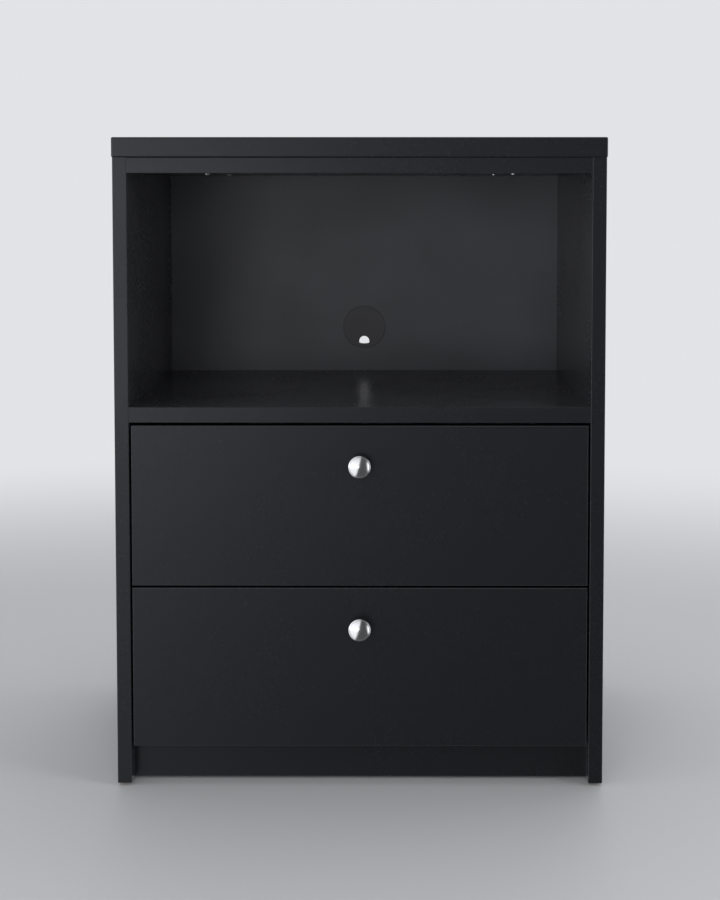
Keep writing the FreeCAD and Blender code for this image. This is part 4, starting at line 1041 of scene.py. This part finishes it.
# ---------------------------------------------------------------- stage
def studio_world(settings):
    """Pale backdrop for the camera. Gloss and glass see it behind the stand, and a darker studio before it."""
    world = bpy.data.worlds.new("studio")
    world.use_nodes = True
    tree = world.node_tree
    tree.nodes.clear()
    way = add(tree, "SeparateXYZ", {0: add(tree, "TexCoord").outputs["Generated"]}).outputs
    ray = add(tree, "LightPath").outputs
    band_lean, band_edge, band_level = 0.27, (-0.091, -0.064), 5.8  # leaning band of light at the left
    strip_edge, strip_level = (0.72, 0.80), 2.3  # upright strip of light at the right
    dark_level, floor_level = 0.11, 0.25  # between band and strip, and low behind the stand
    leaning = maths(tree, "SUBTRACT", way[X], times(tree, way[Z], band_lean))
    band = ramp(tree, leaning, *band_edge, band_level, 0.0)
    for low, high, below, above in (
        (-0.19, -0.04, 0.26, 1.0),  # dimmer towards the floor
        (-0.04, 0.06, 1.0, 0.28),  # dimmer above the level of the eye
        (0.35, 0.90, 1.0, 0.55),  # dimmer again overhead
    ):
        band = times(tree, band, ramp(tree, way[Z], low, high, below, above))
    strip = ramp(tree, way[X], *strip_edge, 0.0, strip_level)
    before = any_of(tree, [band, strip, dark_level])
    behind = ramp(tree, way[Z], -0.12, 0.02, floor_level, 1.0)
    seen = ramp(tree, way[Y], -0.55, 0.35, before, behind)  # from before the stand to behind it
    mirrored = any_of(tree, [ray["Is Glossy Ray"], ray["Is Transmission Ray"]])
    level = add(tree, "Mix", {0: mirrored, 2: settings.ambient, 3: seen}, data_type="FLOAT").outputs[0]
    level = add(tree, "Mix", {0: ray["Is Camera Ray"], 2: level, 3: 1.0}, data_type="FLOAT").outputs[0]
    sky = add(tree, "Background", {"Color": (*settings.backdrop, 1.0), "Strength": level})
    add(tree, "OutputWorld", {"Surface": sky.outputs[0]})
    return world


def floor_material(settings):
    """Plain pale floor that turns into the backdrop with distance."""
    material, tree, shader = new_material("studio_floor")
    here = add(tree, "TexCoord").outputs["Object"]
    reach = add(tree, "VectorMath", {0: here}, operation="LENGTH").outputs["Value"]
    fade = add(
        tree,
        "MapRange",
        {"Value": reach, "From Min": settings.fade_start, "From Max": settings.fade_end},
        interpolation_type="SMOOTHSTEP",
    ).outputs["Result"]
    ray = add(tree, "LightPath").outputs
    seen = any_of(tree, [ray["Is Camera Ray"], ray["Is Glossy Ray"], ray["Is Transmission Ray"]])
    speckle = noise(tree, here, 420.0, 2.0)
    tone = mixed(tree, ramp(tree, speckle, 0.3, 0.7, 0.0, 0.12), settings.floor, shaded(settings.floor, 0.8))
    feed(tree, shader, Base_Color=tone, Roughness=0.60)
    far = add(tree, "Emission", {"Color": (*settings.backdrop, 1.0), "Strength": 1.0})
    both = add(tree, "MixShader", {0: times(tree, fade, seen), 1: shader.outputs["BSDF"], 2: far.outputs[0]})
    tree.links.new(both.outputs[0], tree.nodes["Material Output"].inputs["Surface"])
    return material


def softbox(name, place, aim, size, watts, roll):
    """A rectangular lamp that looks at aim, turned by roll. Gloss sees the world in its place."""
    deselect_all()
    bpy.ops.object.light_add(type="AREA", location=place)
    lamp = bpy.context.object
    lamp.name = lamp.data.name = name
    lamp.data.shape = "RECTANGLE"
    lamp.data.size, lamp.data.size_y = size
    lamp.data.energy = watts
    lamp.visible_camera = False
    lamp.visible_glossy = False
    turn = (Vector(aim) - Vector(place)).to_track_quat("-Z", "Y")
    lamp.rotation_euler = (turn @ Quaternion((0.0, 0.0, 1.0), roll)).to_euler()


class STAND_OT_set_stage(bpy.types.Operator):
    """Lays the floor, hangs the lamps and sets the camera"""

    bl_idname = "stand.set_stage"
    bl_label = "Set the stage"

    def execute(self, context):
        settings = context.scene.stand_stage
        deselect_all()
        bpy.ops.mesh.primitive_circle_add(
            vertices=FLOOR_CORNERS, radius=settings.floor_radius, fill_type="NGON", location=(0.0, 0.0, 0.0)
        )
        floor = context.object
        floor.name = floor.data.name = "studio_floor"
        bpy.ops.object.mode_set(mode="EDIT")
        bpy.ops.mesh.select_all(action="SELECT")
        bpy.ops.mesh.inset(thickness=settings.floor_radius * 0.5)
        bpy.ops.mesh.normals_make_consistent(inside=False)
        bpy.ops.object.mode_set(mode="OBJECT")
        floor.data.materials.append(floor_material(settings))
        floor.visible_glossy = False

        middle = (0.0, 0.0, 0.5)
        for name, place, size, watts, roll in (
            ("wall_lamp", (-1.46, -1.80, 1.4), (4.2, 2.8), settings.wall_power, settings.wall_roll),
            ("fill_lamp", (-0.2, -3.0, 0.8), (2.0, 1.2), settings.fill_power, 0.0),
            ("strip_lamp", (2.45, -1.65, 1.05), (0.9, 2.4), settings.strip_power, 0.0),
            ("rear_lamp", (0.8, 3.2, 1.3), (2.4, 1.6), settings.rear_power, 0.0),
            ("top_lamp", (0.2, 0.4, 3.1), (2.4, 2.0), settings.top_power, 0.0),
        ):
            softbox(name, place, middle, size, watts, roll)
        context.scene.world = studio_world(settings)

        turned_to = (math.pi / 2 - settings.camera_pitch, 0.0, settings.camera_yaw)
        bpy.ops.object.camera_add(location=settings.camera_place, rotation=turned_to)
        camera = context.object
        camera.name = camera.data.name = "studio_camera"
        camera.data.sensor_width = 36.0
        camera.data.lens = settings.camera_lens
        camera.data.shift_x, camera.data.shift_y = settings.camera_shift
        context.scene.camera = camera
        context.scene.view_settings.view_transform = "Standard"
        return {"FINISHED"}


# ---------------------------------------------------------------- add-on
class STAND_PT_build(bpy.types.Panel):
    """Steps that dress the stand, and the sizes and colours that they use."""

    bl_idname = "STAND_PT_build"
    bl_label = "Microwave Stand"
    bl_space_type = "VIEW_3D"
    bl_region_type = "UI"
    bl_category = "Stand"

    def draw(self, context):
        column = self.layout.column(align=True)
        for operator in OPERATORS:
            column.operator(operator.bl_idname, text=operator.bl_label)
        for group in GROUPS:
            values = getattr(context.scene, group)
            box = self.layout.box()
            for name in values.__annotations__:
                box.prop(values, name)


OPERATORS = (
    STAND_OT_face_carcass,
    STAND_OT_face_back,
    STAND_OT_face_drawer_boxes,
    STAND_OT_plate_rails,
    STAND_OT_finish_fittings,
    STAND_OT_turn_knobs,
    STAND_OT_drive_pan_screws,
    STAND_OT_drive_flat_screws,
    STAND_OT_set_stage,
)
GROUPS = {
    "stand_knobs": KnobSizes,
    "stand_screws": ScrewSizes,
    "stand_boards": BoardFinish,
    "stand_metals": MetalFinish,
    "stand_stage": StageSettings,
}


def register():
    for group in GROUPS.values():
        bpy.utils.register_class(group)
    for name, group in GROUPS.items():
        setattr(bpy.types.Scene, name, bpy.props.PointerProperty(type=group))
    for part in (*OPERATORS, STAND_PT_build):
        bpy.utils.register_class(part)


def unregister():
    for part in reversed((*OPERATORS, STAND_PT_build)):
        bpy.utils.unregister_class(part)
    for name, group in GROUPS.items():
        delattr(bpy.types.Scene, name)
        bpy.utils.unregister_class(group)


def main():
    register()
    bpy.ops.stand.face_carcass()
    bpy.ops.stand.face_back()
    bpy.ops.stand.face_drawer_boxes()
    bpy.ops.stand.plate_rails()
    bpy.ops.stand.finish_fittings()
    bpy.ops.stand.turn_knobs()
    bpy.ops.stand.drive_pan_screws()
    bpy.ops.stand.drive_flat_screws()
    bpy.ops.stand.set_stage()
    deselect_all()


if __name__ == "__main__":
    main()
